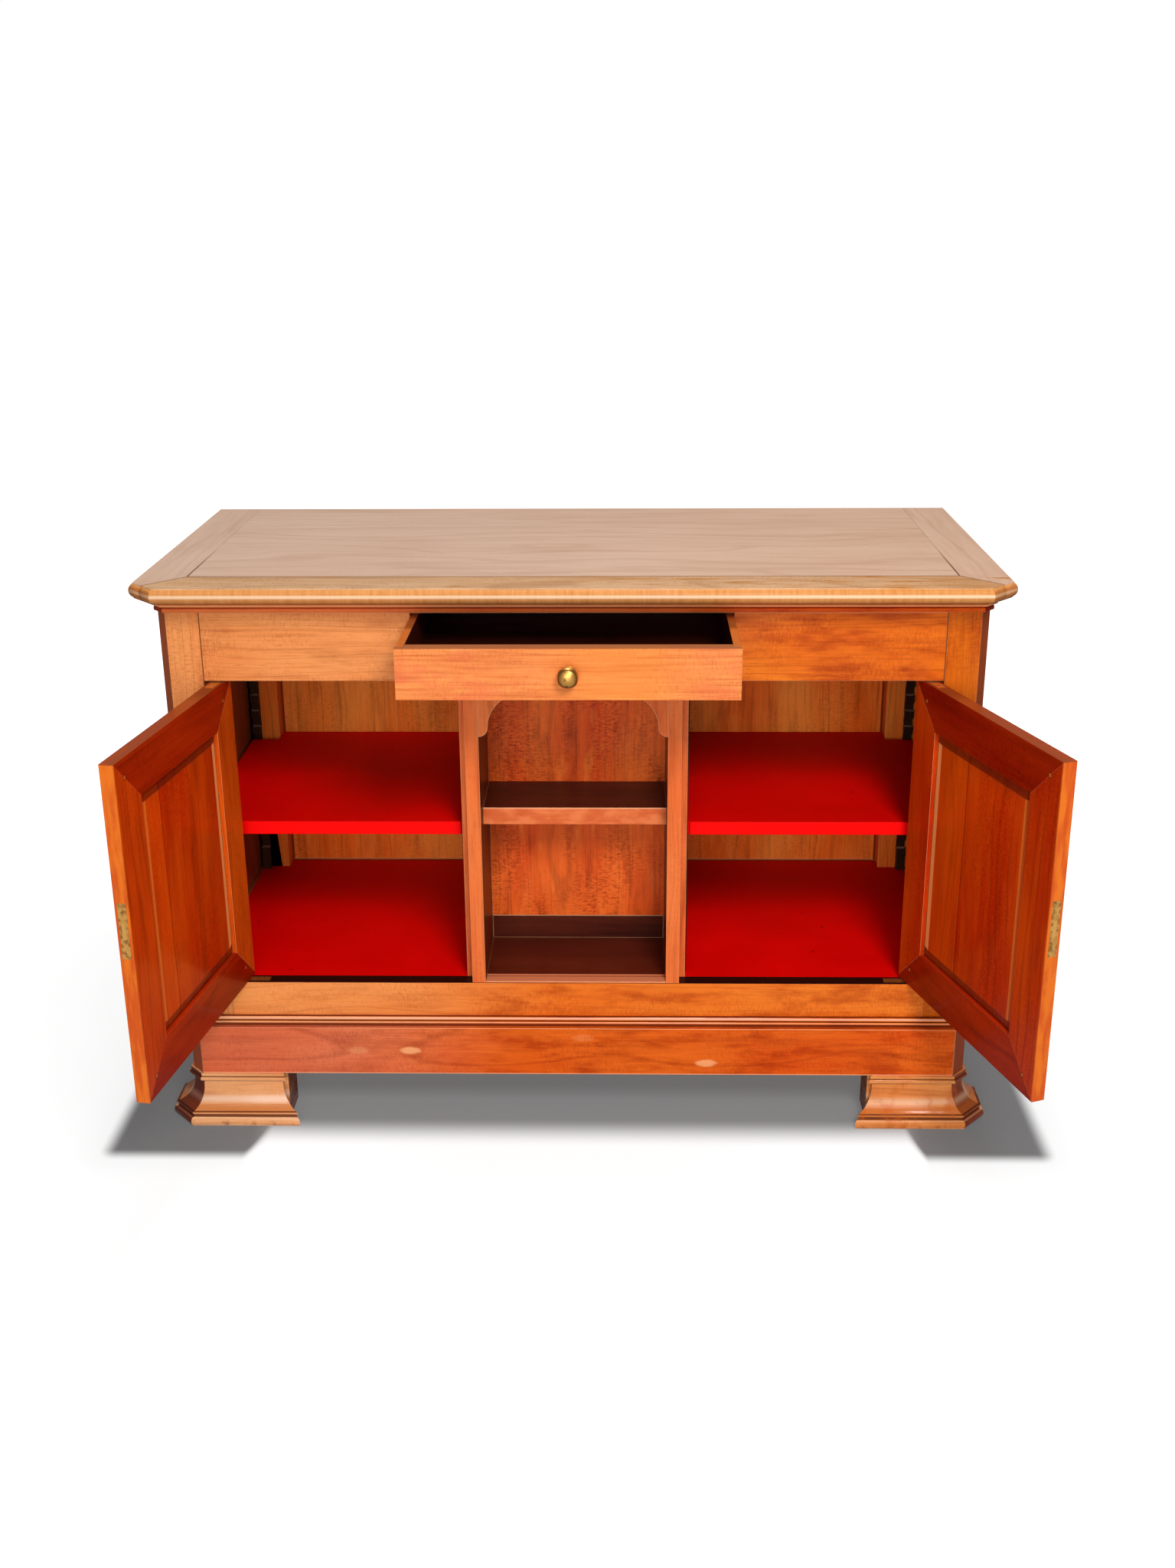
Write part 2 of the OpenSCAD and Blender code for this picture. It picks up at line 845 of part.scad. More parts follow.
// BASE
// A deep groove, a small bead, a larger one and a narrow groove in front of the rail
base_edge = concat(
    [[plinth_t - 8, mould_z], [plinth_t - 8, mould_z + 4.6]],
    arc(plinth_t - 7.5, mould_z + 8, 2.6, -75, 75),
    [[plinth_t - 9, mould_z + 11.2]],
    arc(plinth_t - 8.4, mould_z + 16, 4.4, -75, 150),
    [[-0.5, mould_z + 16.4], [-0.5, rail_z]]);

module base_moulding() {
    color(cherry) placed() {
        front_length(base_edge, mould_z, rail_z);
        side_lengths(base_edge, mould_z, rail_z);
    }
}

plinth_edge = [[plinth_t, foot_h], [plinth_t, mould_z]];

module plinth_front() {
    color(cherry) placed() front_length(plinth_edge, foot_h, mould_z);
}

module plinth_sides() {
    color(cherry) placed() side_lengths(plinth_edge, foot_h, mould_z);
}

// A foot's face, from the floor up, as parts of the flare and of the height:
// torus, groove, thin bead, cove, bead and fillet
foot_edge = concat(
    [for (t = steps(-75, 88)) [0.86 + 0.14*cos(t), 0.085 + 0.085*sin(t)]],
    [[0.8, 0.175], [0.8, 0.235], [0.85, 0.24], [0.87, 0.26], [0.85, 0.28]],
    [for (t = steps(65, 0)) [0.78*(1 - cos(t))/(1 - cos(65)), 0.79 - 0.505*sin(t)/sin(65)]],
    [[0, 0.85], [0.14, 0.855], [0.2, 0.87], [0.2, 0.915], [0.14, 0.93],
        [0.07, 0.935], [0.13, 0.945], [0.13, 1]]);
foot_points = concat([[0.88, 0]], [for (p = foot_edge) [p[0], p[1]*foot_h]]);

// How far the plain block behind a foot's face reaches past that face
foot_block_out = 6.5;

// A foot's profile on one more side, at a place and an angle on the plan
module foot_face(x, y, angle, out) {
    translate([x, y, 0]) rotate([0, 0, angle]) along_x([for (p = foot_points) [p[0]*out, p[1]]], 0, foot_h);
}

module front_foot() {
    arris = post_arris + plinth_t*(sqrt(2) - 1);
    intersection() {
        foot_face(-arris, -plinth_t, 0, flare_front);
        foot_face(-arris, -plinth_t, -45, flare_cant);
        foot_face(-half_w - plinth_t, 0, -90, flare_side);
        block([-far, 0], [-far, foot_d], [0, foot_h]);
        union() {
            foot_face(-half_w + foot_w, -plinth_t, 135, flare_inner);
            block([-far, -half_w + foot_w + foot_block_out], [2, far], [0, foot_h]);
        }
    }
}

module left_front_foot() {
    color(cherry_light) placed() front_foot();
}

module right_front_foot() {
    color(cherry_light) placed() mirror([1, 0, 0]) front_foot();
}

module rear_foot() {
    intersection() {
        foot_face(-half_w - plinth_t, 0, -90, flare_side);
        block([-far, -half_w + foot_w + foot_block_out], [carcass_d - foot_d, carcass_d], [0, foot_h]);
    }
}

module rear_feet() {
    color(cherry_light) placed() {
        rear_foot();
        mirror([1, 0, 0]) rear_foot();
    }
}

// DOORS
module door_panel_space(gap = 0) {
    block([hinge_stile_end - groove_d - gap, lock_stile_start + groove_d + gap],
        [-tongue_t/2 - gap, tongue_t/2 + gap],
        [door_z0 + door_rail_w - groove_d - gap, door_z1 - door_rail_w + groove_d + gap]);
}

// The corners are half-lapped: the inner halves meet in a mitre, the outer halves butt
module rail_plan() {
    translate([0, door_t/2, 0]) rotate([90, 0, 0]) linear_extrude(height = door_t/2) {
        polygon([[-hinge_r, door_z0], [door_lead, door_z0],
            [lock_stile_start, door_z0 + door_rail_w], [hinge_stile_end, door_z0 + door_rail_w]]);
        polygon([[-hinge_r, door_z1], [hinge_stile_end, door_z1 - door_rail_w],
            [lock_stile_start, door_z1 - door_rail_w], [door_lead, door_z1]]);
    }
}

// The rounded edge that turns beside the post
module door_blank() {
    intersection() {
        union() {
            translate([0, 0, door_z0]) cylinder(h = door_z1 - door_z0, r = hinge_r, $fn = 96);
            block([0, door_lead], [-door_t, door_t], [door_z0, door_z1]);
        }
        block([-hinge_r, door_lead], [-door_t/2, door_t/2], [door_z0, door_z1]);
    }
}

module hinge_stile() {
    difference() {
        intersection() {
            door_blank();
            block([-hinge_r, hinge_stile_end], [-door_t, door_t], [door_z0, door_z1]);
        }
        rail_plan();
        door_panel_space(joint_gap);
        pivot_rooms();
    }
}

module lock_stile() {
    difference() {
        intersection() {
            door_blank();
            block([lock_stile_start, door_lead], [-door_t, door_t], [door_z0, door_z1]);
        }
        rail_plan();
        door_panel_space(joint_gap);
        room([door_lead - lock_t, door_lead + 1], [-lock_w/2, lock_w/2],
            [lock_z - lock_l/2, lock_z + lock_l/2]);
        room([door_lead - case_d, door_lead], [-case_t/2, case_t/2], [lock_z - case_h/2, lock_z + case_h/2]);
        keyhole();
    }
}

module door_rails() {
    difference() {
        union() {
            intersection() {
                door_blank();
                rail_plan();
            }
            for (z = [door_z0, door_z1 - door_rail_w])
                block([hinge_stile_end, lock_stile_start], [-door_t/2, door_t/2], [z, z + door_rail_w]);
        }
        door_panel_space(joint_gap);
        pivot_rooms();
    }
}

// Bevels round the field on both faces
module door_panel() {
    x0 = hinge_stile_end;
    x1 = lock_stile_start;
    z0 = door_z0 + door_rail_w;
    z1 = door_z1 - door_rail_w;
    a = tongue_t/2;
    b = field_t/2;
    w = bevel_w;
    door_panel_space();
    intersection() {
        translate([0, 0, z0]) linear_extrude(height = z1 - z0)
            polygon([[x0, -a], [x0 + w, -b], [x1 - w, -b], [x1, -a],
                [x1, a], [x1 - w, b], [x0 + w, b], [x0, a]]);
        translate([x0, 0, 0]) rotate([90, 0, 90]) linear_extrude(height = x1 - x0)
            polygon([[-a, z0], [-b, z0 + w], [-b, z1 - w], [-a, z1],
                [a, z1], [b, z1 - w], [b, z0 + w], [a, z0]]);
    }
}

module pivot() {
    block([-plate_w/2, plate_l - plate_w/2], [-plate_w/2, plate_w/2], [0, plate_t]);
    translate([0, 0, -door_gap - pin_deep]) cylinder(h = door_gap + pin_deep + plate_t, r = pin_r);
}

module pivots() {
    translate([0, 0, door_z0]) pivot();
    translate([0, 0, door_z1]) mirror([0, 0, 1]) pivot();
}

module pivot_rooms() {
    for (z = [door_z0, door_z1 - plate_t])
        room([-plate_w/2, plate_l - plate_w/2], [-plate_w/2, plate_w/2], [z, z + plate_t]);
}

// A socket's plate with its bore, let into the rail or the frieze
module socket() {
    difference() {
        block([-plate_w/2, plate_l - plate_w/2], [-plate_w/2, plate_w/2], [-plate_t, 0]);
        translate([0, 0, -plate_t - 1]) cylinder(h = plate_t + 2, r = pin_r + pin_gap);
    }
}

module at_sockets() {
    for (side = [0, 1]) mirror([side, 0, 0]) translate([-pivot_x, pivot_y, 0]) {
        translate([0, 0, rail_top]) children();
        translate([0, 0, frieze_z]) mirror([0, 0, 1]) children();
    }
}

module pivot_sockets() {
    color("darkgoldenrod") placed() at_sockets() socket();
}

module socket_rooms() {
    at_sockets() {
        room([-plate_w/2, plate_l - plate_w/2], [-plate_w/2, plate_w/2], [-plate_t, 1]);
        translate([0, 0, -pin_deep - 2]) cylinder(h = pin_deep + 3, r = pin_r + 0.6);
    }
}

module keyhole() {
    translate([door_lead - 22, 0, lock_z]) {
        rotate([90, 0, 0]) cylinder(h = door_t/2 + 1, r = 2.8);
        block([-1.4, 1.4], [-door_t/2 - 1, 0], [-10, 0]);
    }
}

module bolt_space(gap = 0) {
    block([door_lead - bolt_l - gap, door_lead + gap], [-bolt_t/2 - gap, bolt_t/2 + gap],
        [lock_z - bolt_h/2 - gap, lock_z + bolt_h/2 + gap]);
}

module lock() {
    difference() {
        union() {
            block([door_lead - lock_t, door_lead], [-lock_w/2, lock_w/2],
                [lock_z - lock_l/2, lock_z + lock_l/2]);
            block([door_lead - case_d, door_lead - lock_t], [-case_t/2, case_t/2],
                [lock_z - case_h/2, lock_z + case_h/2]);
        }
        bolt_space(bolt_gap);
        translate([bolt_travel, 0, 0]) bolt_space(bolt_gap);
    }
}

module bolt() {
    bolt_space();
}

module at_left_door() {
    translate([-pivot_x, pivot_y, 0]) rotate([0, 0, -left_open]) children();
}

module at_right_door() {
    mirror([1, 0, 0]) translate([-pivot_x, pivot_y, 0]) rotate([0, 0, -right_open]) children();
}

module left_hinge_stile() {
    color(cherry_deep) placed() at_left_door() hinge_stile();
}

module left_lock_stile() {
    color(cherry_deep) placed() at_left_door() lock_stile();
}

module left_door_rails() {
    color(cherry_deep) placed() at_left_door() door_rails();
}

module left_door_panel() {
    color(cherry_deep) placed() at_left_door() door_panel();
}

module left_pivots() {
    color("darkgoldenrod") placed() at_left_door() pivots();
}

module left_lock() {
    color("darkgoldenrod") placed() at_left_door() lock();
}

module left_bolt() {
    color("gold") placed() at_left_door() bolt();
}

module right_hinge_stile() {
    color(cherry_deep) placed() at_right_door() hinge_stile();
}

module right_lock_stile() {
    color(cherry_deep) placed() at_right_door() lock_stile();
}

module right_door_rails() {
    color(cherry_deep) placed() at_right_door() door_rails();
}

module right_door_panel() {
    color(cherry_deep) placed() at_right_door() door_panel();
}

module right_pivots() {
    color("darkgoldenrod") placed() at_right_door() pivots();
}

module right_lock() {
    color("darkgoldenrod") placed() at_right_door() lock();
}

module right_bolt() {
    color("gold") placed() at_right_door() bolt();
}

// DRAWER
module drawer_runners() {
    color(cherry_deep) placed() for (side = [0, 1]) mirror([side, 0, 0]) {
        block([-guide_x - guide_w, -niche_half], [front_t, back_face], [runner_z, runner_top]);
        block([-guide_x - guide_w, -guide_x], [front_t, back_face],
            [runner_top + mitre_gap, runner_top + guide_h]);
    }
}

module pulled() {
    translate([0, -drawer_out, 0]) children();
}

module drawer_bottom_space(gap = 0) {
    block([-drawer_in - bottom_tongue - gap, drawer_in + bottom_tongue + gap],
        [drawer_front_t - bottom_tongue - gap, drawer_l + gap],
        [bottom_z - gap, bottom_z + drawer_bottom_t + gap]);
}

module drawer_front() {
    lap = drawer_front_t - 8;
    color(cherry) placed() pulled() difference() {
        block([-drawer_half, drawer_half], [0, drawer_front_t], [drawer_z0, drawer_z1]);
        for (side = [0, 1]) mirror([side, 0, 0])
            block([drawer_in, drawer_half + 1], [drawer_front_t - lap, drawer_front_t + 1],
                [drawer_z0 - 1, drawer_z1 + 1]);
        drawer_bottom_space(joint_gap);
        translate([0, -1, drawer_mid]) rotate([-90, 0, 0])
            cylinder(h = drawer_front_t + 2, r = shank_r + 0.1);
    }
}

module drawer_sides() {
    color(cherry_light) placed() pulled() difference() {
        for (side = [0, 1]) mirror([side, 0, 0])
            block([drawer_in, drawer_half], [8, drawer_l], [drawer_z0, drawer_z1 - 3]);
        drawer_bottom_space(joint_gap);
    }
}

module drawer_back() {
    color(cherry_light) placed() pulled()
        block([-drawer_in, drawer_in], [drawer_l - drawer_side_t, drawer_l],
            [bottom_z + drawer_bottom_t, drawer_z1 - 3]);
}

module drawer_bottom() {
    color(cherry_light) placed() pulled() drawer_bottom_space();
}

// A turned knob: rose, neck and flattened ball on one shank
module drawer_knob() {
    ball = knob_out - 17;
    profile = concat(
        [[0, -drawer_front_t - 1], [shank_r, -drawer_front_t - 1], [shank_r, 0],
            [13, 0], [13, 1.5], [11, 3]],
        [for (t = steps(0, 90)) [6 + 3*(1 - sin(t)), 3 + 6*t/90]],
        [for (t = steps(-62, 90)) [knob_r*cos(t), 17 + ball*sin(t)*(t < 0 ? 0.62 : 1)]]);
    color("gold") placed() pulled() translate([0, 0, drawer_mid]) rotate([90, 0, 0])
        rotate_extrude($fn = 64) polygon(profile);
}

top_field();
top_front_rail();
top_left_rail();
top_right_rail();
cornice_moulding();
left_front_post();
right_front_post();
left_rear_post();
right_rear_post();
front_top_rail();
frieze_board();
bottom_rail();
left_side_rails();
right_side_rails();
side_panels();
left_centre_stile();
right_centre_stile();
left_partition();
right_partition();
niche_apron();
niche_back();
niche_back_rail();
niche_shelf();
niche_floor();
base_moulding();
plinth_front();
plinth_sides();
left_front_foot();
right_front_foot();
rear_feet();
left_floor();
right_floor();
back_frame();
back_panels();
left_shelf();
right_shelf();
shelf_racks();
shelf_cleats();
drawer_runners();
pivot_sockets();
left_hinge_stile();
left_lock_stile();
left_door_rails();
left_door_panel();
left_pivots();
left_lock();
left_bolt();
right_hinge_stile();
right_lock_stile();
right_door_rails();
right_door_panel();
right_pivots();
right_lock();
right_bolt();
drawer_front();
drawer_sides();
drawer_back();
drawer_bottom();
drawer_knob();
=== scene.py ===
"""Looks of a buffet cabinet: polished cherry wood, red painted shelves and worn brass.

All lengths are in metres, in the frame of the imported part: X along the front, Y from front to back, Z up.
"""
import json
import math

import bmesh
import bpy
import numpy as np
from mathutils import Matrix, Vector


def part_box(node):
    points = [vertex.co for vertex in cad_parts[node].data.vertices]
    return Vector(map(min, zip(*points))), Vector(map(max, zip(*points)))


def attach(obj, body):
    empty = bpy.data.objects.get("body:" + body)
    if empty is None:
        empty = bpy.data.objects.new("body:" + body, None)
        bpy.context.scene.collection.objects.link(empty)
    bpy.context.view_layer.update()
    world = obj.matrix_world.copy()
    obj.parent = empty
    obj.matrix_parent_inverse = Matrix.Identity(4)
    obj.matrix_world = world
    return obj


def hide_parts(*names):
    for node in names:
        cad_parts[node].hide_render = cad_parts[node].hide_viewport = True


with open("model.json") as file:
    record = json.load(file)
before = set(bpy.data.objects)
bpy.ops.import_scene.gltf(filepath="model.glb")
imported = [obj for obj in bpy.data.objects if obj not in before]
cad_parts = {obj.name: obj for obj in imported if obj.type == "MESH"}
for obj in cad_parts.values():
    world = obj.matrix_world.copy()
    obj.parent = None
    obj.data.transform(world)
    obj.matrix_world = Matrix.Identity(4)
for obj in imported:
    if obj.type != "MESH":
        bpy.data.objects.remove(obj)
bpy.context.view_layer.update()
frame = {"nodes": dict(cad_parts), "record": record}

MM = 0.001

# Places on the part

FRONT_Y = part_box("left_front_post")[0][1]
POST_IN = -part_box("left_front_post")[1][0]
TOP_JOINT_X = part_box("top_field")[1][0] - 8 * MM
TOP_JOINT_Y = 11 * MM
TOP_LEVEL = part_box("top_field")[1][2]
CORNICE_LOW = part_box("cornice_moulding")[0][2]
RAIL_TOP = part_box("bottom_rail")[1][2]
MOULD_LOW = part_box("base_moulding")[0][2]
PLINTH_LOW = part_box("plinth_front")[0][2]
FOOT_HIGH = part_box("left_front_foot")[1][2]
NICHE_HALF = 157 * MM
NICHE_SHELF_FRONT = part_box("niche_shelf")[0][1]
NICHE_SHELF_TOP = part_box("niche_shelf")[1][2]
DRAWER_FACE_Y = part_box("drawer_front")[0][1]
DRAWER_FACE_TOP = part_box("drawer_front")[1][2]
DRAWER_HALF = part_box("drawer_sides")[1][0]
DRAWER_SIDE_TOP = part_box("drawer_sides")[1][2]

# The doors stand open as drawn. Along a door, distances run from its pivot towards the lock.
LEFT_OPEN = math.radians(99.3)
RIGHT_OPEN = math.radians(108.8)
PIVOT_X, PIVOT_Y = 582 * MM, FRONT_Y + 12.5 * MM
DOOR_LOW, DOOR_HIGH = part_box("left_hinge_stile")[0][2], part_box("left_hinge_stile")[1][2]
DOOR_LEAD = 400.3 * MM
PEG_PLACES = [(along, z) for along in (18 * MM, DOOR_LEAD - 30 * MM)
              for z in (DOOR_LOW + 30 * MM, DOOR_HIGH - 30 * MM)]
PANEL_LOW, PANEL_HIGH = DOOR_LOW + 74 * MM, DOOR_HIGH - 74 * MM
PANEL_NEAR, PANEL_FAR = 49 * MM, DOOR_LEAD - 74 * MM
PANEL_BEVEL = 16 * MM
LEFT_SEAM, RIGHT_SEAM = 262 * MM, 150 * MM

# Worn ovals on the plinth: how far across, how high, and how strongly worn
OVALS = ((-0.293, 0.146, 0.8), (-0.385, 0.146, 0.3), (0.012, 0.172, 0.16), (0.229, 0.123, 0.75))
OVAL_HALF_WIDE, OVAL_HALF_HIGH = 19 * MM, 7.5 * MM

# Meshes: points nearer than DOUBLED are one, and faces bent less than FLAT are one. An edge bent more than
# SHARP gets a bevel, and a face with a bend between LEVEL and SHARP is shaded smooth.
DOUBLED = 1e-6
FLAT = math.radians(0.4)
LEVEL = math.radians(1)
SHARP = math.radians(34)


# Values and looks

def linear(r, g, b):
    """A colour given as 0 to 255, turned into the light values that the shaders take."""
    parts = [v / 255 for v in (r, g, b)]
    return tuple(v / 12.92 if v <= 0.04045 else ((v + 0.055) / 1.055) ** 2.4 for v in parts) + (1.0,)


class Value:
    """A socket of a look. Sums, products and powers of values become Math nodes."""

    def __init__(self, look, socket):
        self.look = look
        self.socket = socket

    def math(self, operation, *others):
        """Any Math operation on it and up to two others."""
        return self.look.node("ShaderNodeMath", {"operation": operation}, dict(enumerate((self,) + others)))

    def size(self):
        """How large it is, without its sign."""
        return self.math("ABSOLUTE")

    def most(self, *others):
        """The largest of it and the others."""
        found = self
        for other in others:
            found = found.math("MAXIMUM", other)
        return found

    def least(self, *others):
        """The smallest of it and the others."""
        found = self
        for other in others:
            found = found.math("MINIMUM", other)
        return found


def operator(operation, swapped):
    """A method that joins a value with another value or number by one Math operation."""
    def apply(self, other):
        pair = (other, self) if swapped else (self, other)
        return self.look.node("ShaderNodeMath", {"operation": operation}, dict(enumerate(pair)))
    return apply


OPERATIONS = {"add": "ADD", "sub": "SUBTRACT", "mul": "MULTIPLY", "truediv": "DIVIDE", "pow": "POWER"}
for sign, word in OPERATIONS.items():
    setattr(Value, "__%s__" % sign, operator(word, False))
    setattr(Value, "__r%s__" % sign, operator(word, True))


class Look:
    """A material or the world, built from nodes by plain expressions."""

    def __init__(self, owner, output="ShaderNodeOutputMaterial"):
        self.owner = owner
        self.output = output
        owner.use_nodes = True
        self.tree = owner.node_tree
        self.tree.nodes.clear()

    def node(self, kind, settings=None, inputs=None, out=0):
        """Any node: its settings first, then the values or links of its sockets."""
        made = self.tree.nodes.new(kind)
        for key, value in (settings or {}).items():
            setattr(made, key, value)
        for key, value in (inputs or {}).items():
            if isinstance(value, Value):
                self.tree.links.new(value.socket, made.inputs[key])
            else:
                made.inputs[key].default_value = value
        return Value(self, made.outputs[out])

    def turned(self, vector, turn):
        """A vector turned about the upright axis."""
        if not turn:
            return vector
        inputs = {"Vector": vector, "Angle": turn}
        return self.node("ShaderNodeVectorRotate", {"rotation_type": "Z_AXIS"}, inputs)

    def parts(self, vector):
        """The three numbers of a vector."""
        outs = self.node("ShaderNodeSeparateXYZ", None, {0: vector}).socket.node.outputs
        return [Value(self, outs[i]) for i in range(3)]

    def place(self, turn=0.0):
        """Where a point lies, in the piece's own turned coordinates."""
        return self.parts(self.turned(self.node("ShaderNodeTexCoord", out="Object"), turn))

    def facing(self, turn=0.0):
        """The face's own direction, in the piece's own turned coordinates."""
        true = self.node("ShaderNodeNewGeometry", out="True Normal")
        settings = {"vector_type": "NORMAL", "convert_from": "WORLD", "convert_to": "OBJECT"}
        return self.parts(self.turned(self.node("ShaderNodeVectorTransform", settings, {0: true}), turn))

    def noise(self, place, counts, detail=2.0, rough=0.5, shift=0.0):
        """Smooth noise from 0 to 1, with so many blobs to a metre along each axis. The shift moves it along
        the first axis, in blobs."""
        blobs = [axis * count for axis, count in zip(place, counts)]
        if shift:
            blobs[0] = blobs[0] + shift
        vector = self.node("ShaderNodeCombineXYZ", None, dict(enumerate(blobs)))
        return self.node("ShaderNodeTexNoise", {"noise_dimensions": "3D"},
                         {"Vector": vector, "Scale": 1.0, "Detail": detail, "Roughness": rough})

    def line_noise(self, w, detail):
        """Smooth noise from 0 to 1 along one number, one blob to a unit."""
        return self.node("ShaderNodeTexNoise", {"noise_dimensions": "1D"},
                         {"W": w, "Scale": 1.0, "Detail": detail, "Roughness": 0.5})

    def smooth(self, value, low, high):
        """0 below low, 1 above high, smooth between. With low above high it falls instead."""
        return self.node("ShaderNodeMapRange", {"interpolation_type": "SMOOTHSTEP"},
                         {0: value, 1: low, 2: high, 3: 0.0, 4: 1.0})

    def band(self, value, low, high, soft):
        """1 between low and high, 0 outside, with soft ends."""
        return self.smooth(value, low - soft, low + soft) * self.smooth(value, high + soft, high - soft)

    def mix(self, factor, a, b, blend="MIX"):
        """Two colours mixed."""
        inputs = {0: factor, 6: a, 7: b}
        return self.node("ShaderNodeMix", {"data_type": "RGBA", "blend_type": blend}, inputs, out=2)

    def dye(self, factor, colour, dye):
        """A colour multiplied by a dye of three shares, as far as the factor says."""
        return self.mix(factor, colour, dye + (1.0,), "MULTIPLY")

    def surface(self, colour, rough, height, bump, **uniform):
        """The shader itself. The uniform values go straight onto its sockets."""
        normal = self.node("ShaderNodeBump", None, {"Strength": bump, "Distance": MM, "Height": height})
        sockets = {"Base Color": colour, "Roughness": rough, "Normal": normal}
        for key, value in uniform.items():
            sockets[key.replace("_", " ")] = value
        return self.close(self.node("ShaderNodeBsdfPrincipled", None, sockets))

    def close(self, shader):
        """The finished material or world, with the shader at its output."""
        out = self.tree.nodes.new(self.output)
        self.tree.links.new(shader.socket, out.inputs[0])
        return self.owner


# Tones of each wood: dark streaks, the ground, light streaks

CHERRY = (linear(150, 54, 14), linear(230, 132, 68), linear(244, 160, 92))
STILE = (linear(140, 40, 10), linear(230, 102, 44), linear(244, 132, 68))
RAIL = (linear(184, 78, 24), linear(241, 136, 64), linear(248, 158, 88))
DRAWER = (linear(176, 72, 28), linear(242, 142, 74), linear(246, 150, 80))
# TOP: pale tones that carry a painted sheen
TOP = (linear(180, 140, 112), linear(206, 171, 148), linear(214, 182, 160))
TOP_FRONT = (linear(140, 88, 46), linear(197, 151, 107), linear(213, 172, 134))
DOOR_STILE = (linear(104, 14, 2), linear(188, 44, 3), linear(216, 76, 8))
# DOOR_HINGE: a lighter copy of the door stile's tones, painted light on the left door's hinge stile
DOOR_HINGE = (linear(124, 28, 3), linear(206, 72, 8), linear(226, 96, 16))
DOOR_RAIL = (linear(76, 8, 2), linear(146, 24, 2), linear(184, 48, 5))
DOOR_PANEL = (linear(100, 12, 2), linear(204, 46, 2), linear(234, 88, 10))
NICHE = (linear(112, 22, 4), linear(226, 76, 20), linear(246, 116, 44))
PLAIN = (linear(104, 34, 5), linear(238, 104, 26), linear(252, 150, 60))
# WALL: dark tones, painted shade on the partitions beside the niche
WALL = (linear(44, 10, 3), linear(112, 32, 8), linear(142, 50, 16))
RACK = (linear(14, 8, 6), linear(40, 22, 14), linear(70, 44, 30))
DARK = (linear(24, 7, 4), linear(58, 17, 10), linear(96, 36, 20))
FOOT = (linear(168, 80, 32), linear(230, 148, 88), linear(246, 182, 128))
PLINTH = (linear(140, 34, 14), linear(226, 102, 58), linear(242, 140, 92))

# Dyes: deeper where the painted sheen falls off, darker clouds there, and painted shade on the cut-off
# corners
SHEEN_FALLOFF_DYE = (0.95, 0.55, 0.02)
SHEEN_FALLOFF_CLOUD_DYE = (0.74, 0.55, 0.42)
CANT_SHADE_DYE = (0.32, 0.09, 0.03)

# Painted highlight, with wear, along the rounded arrises
ARRIS_WEAR_HIGHLIGHT = linear(250, 188, 138)
JOINT = linear(92, 34, 12)

# Which coordinates run along the grain and across it
GRAIN_ORDER = {"x": (0, 1, 2), "y": (1, 0, 2), "z": (2, 0, 1)}
HEART_BEHIND = 0.16
RINGS_PER_METRE = 190.0


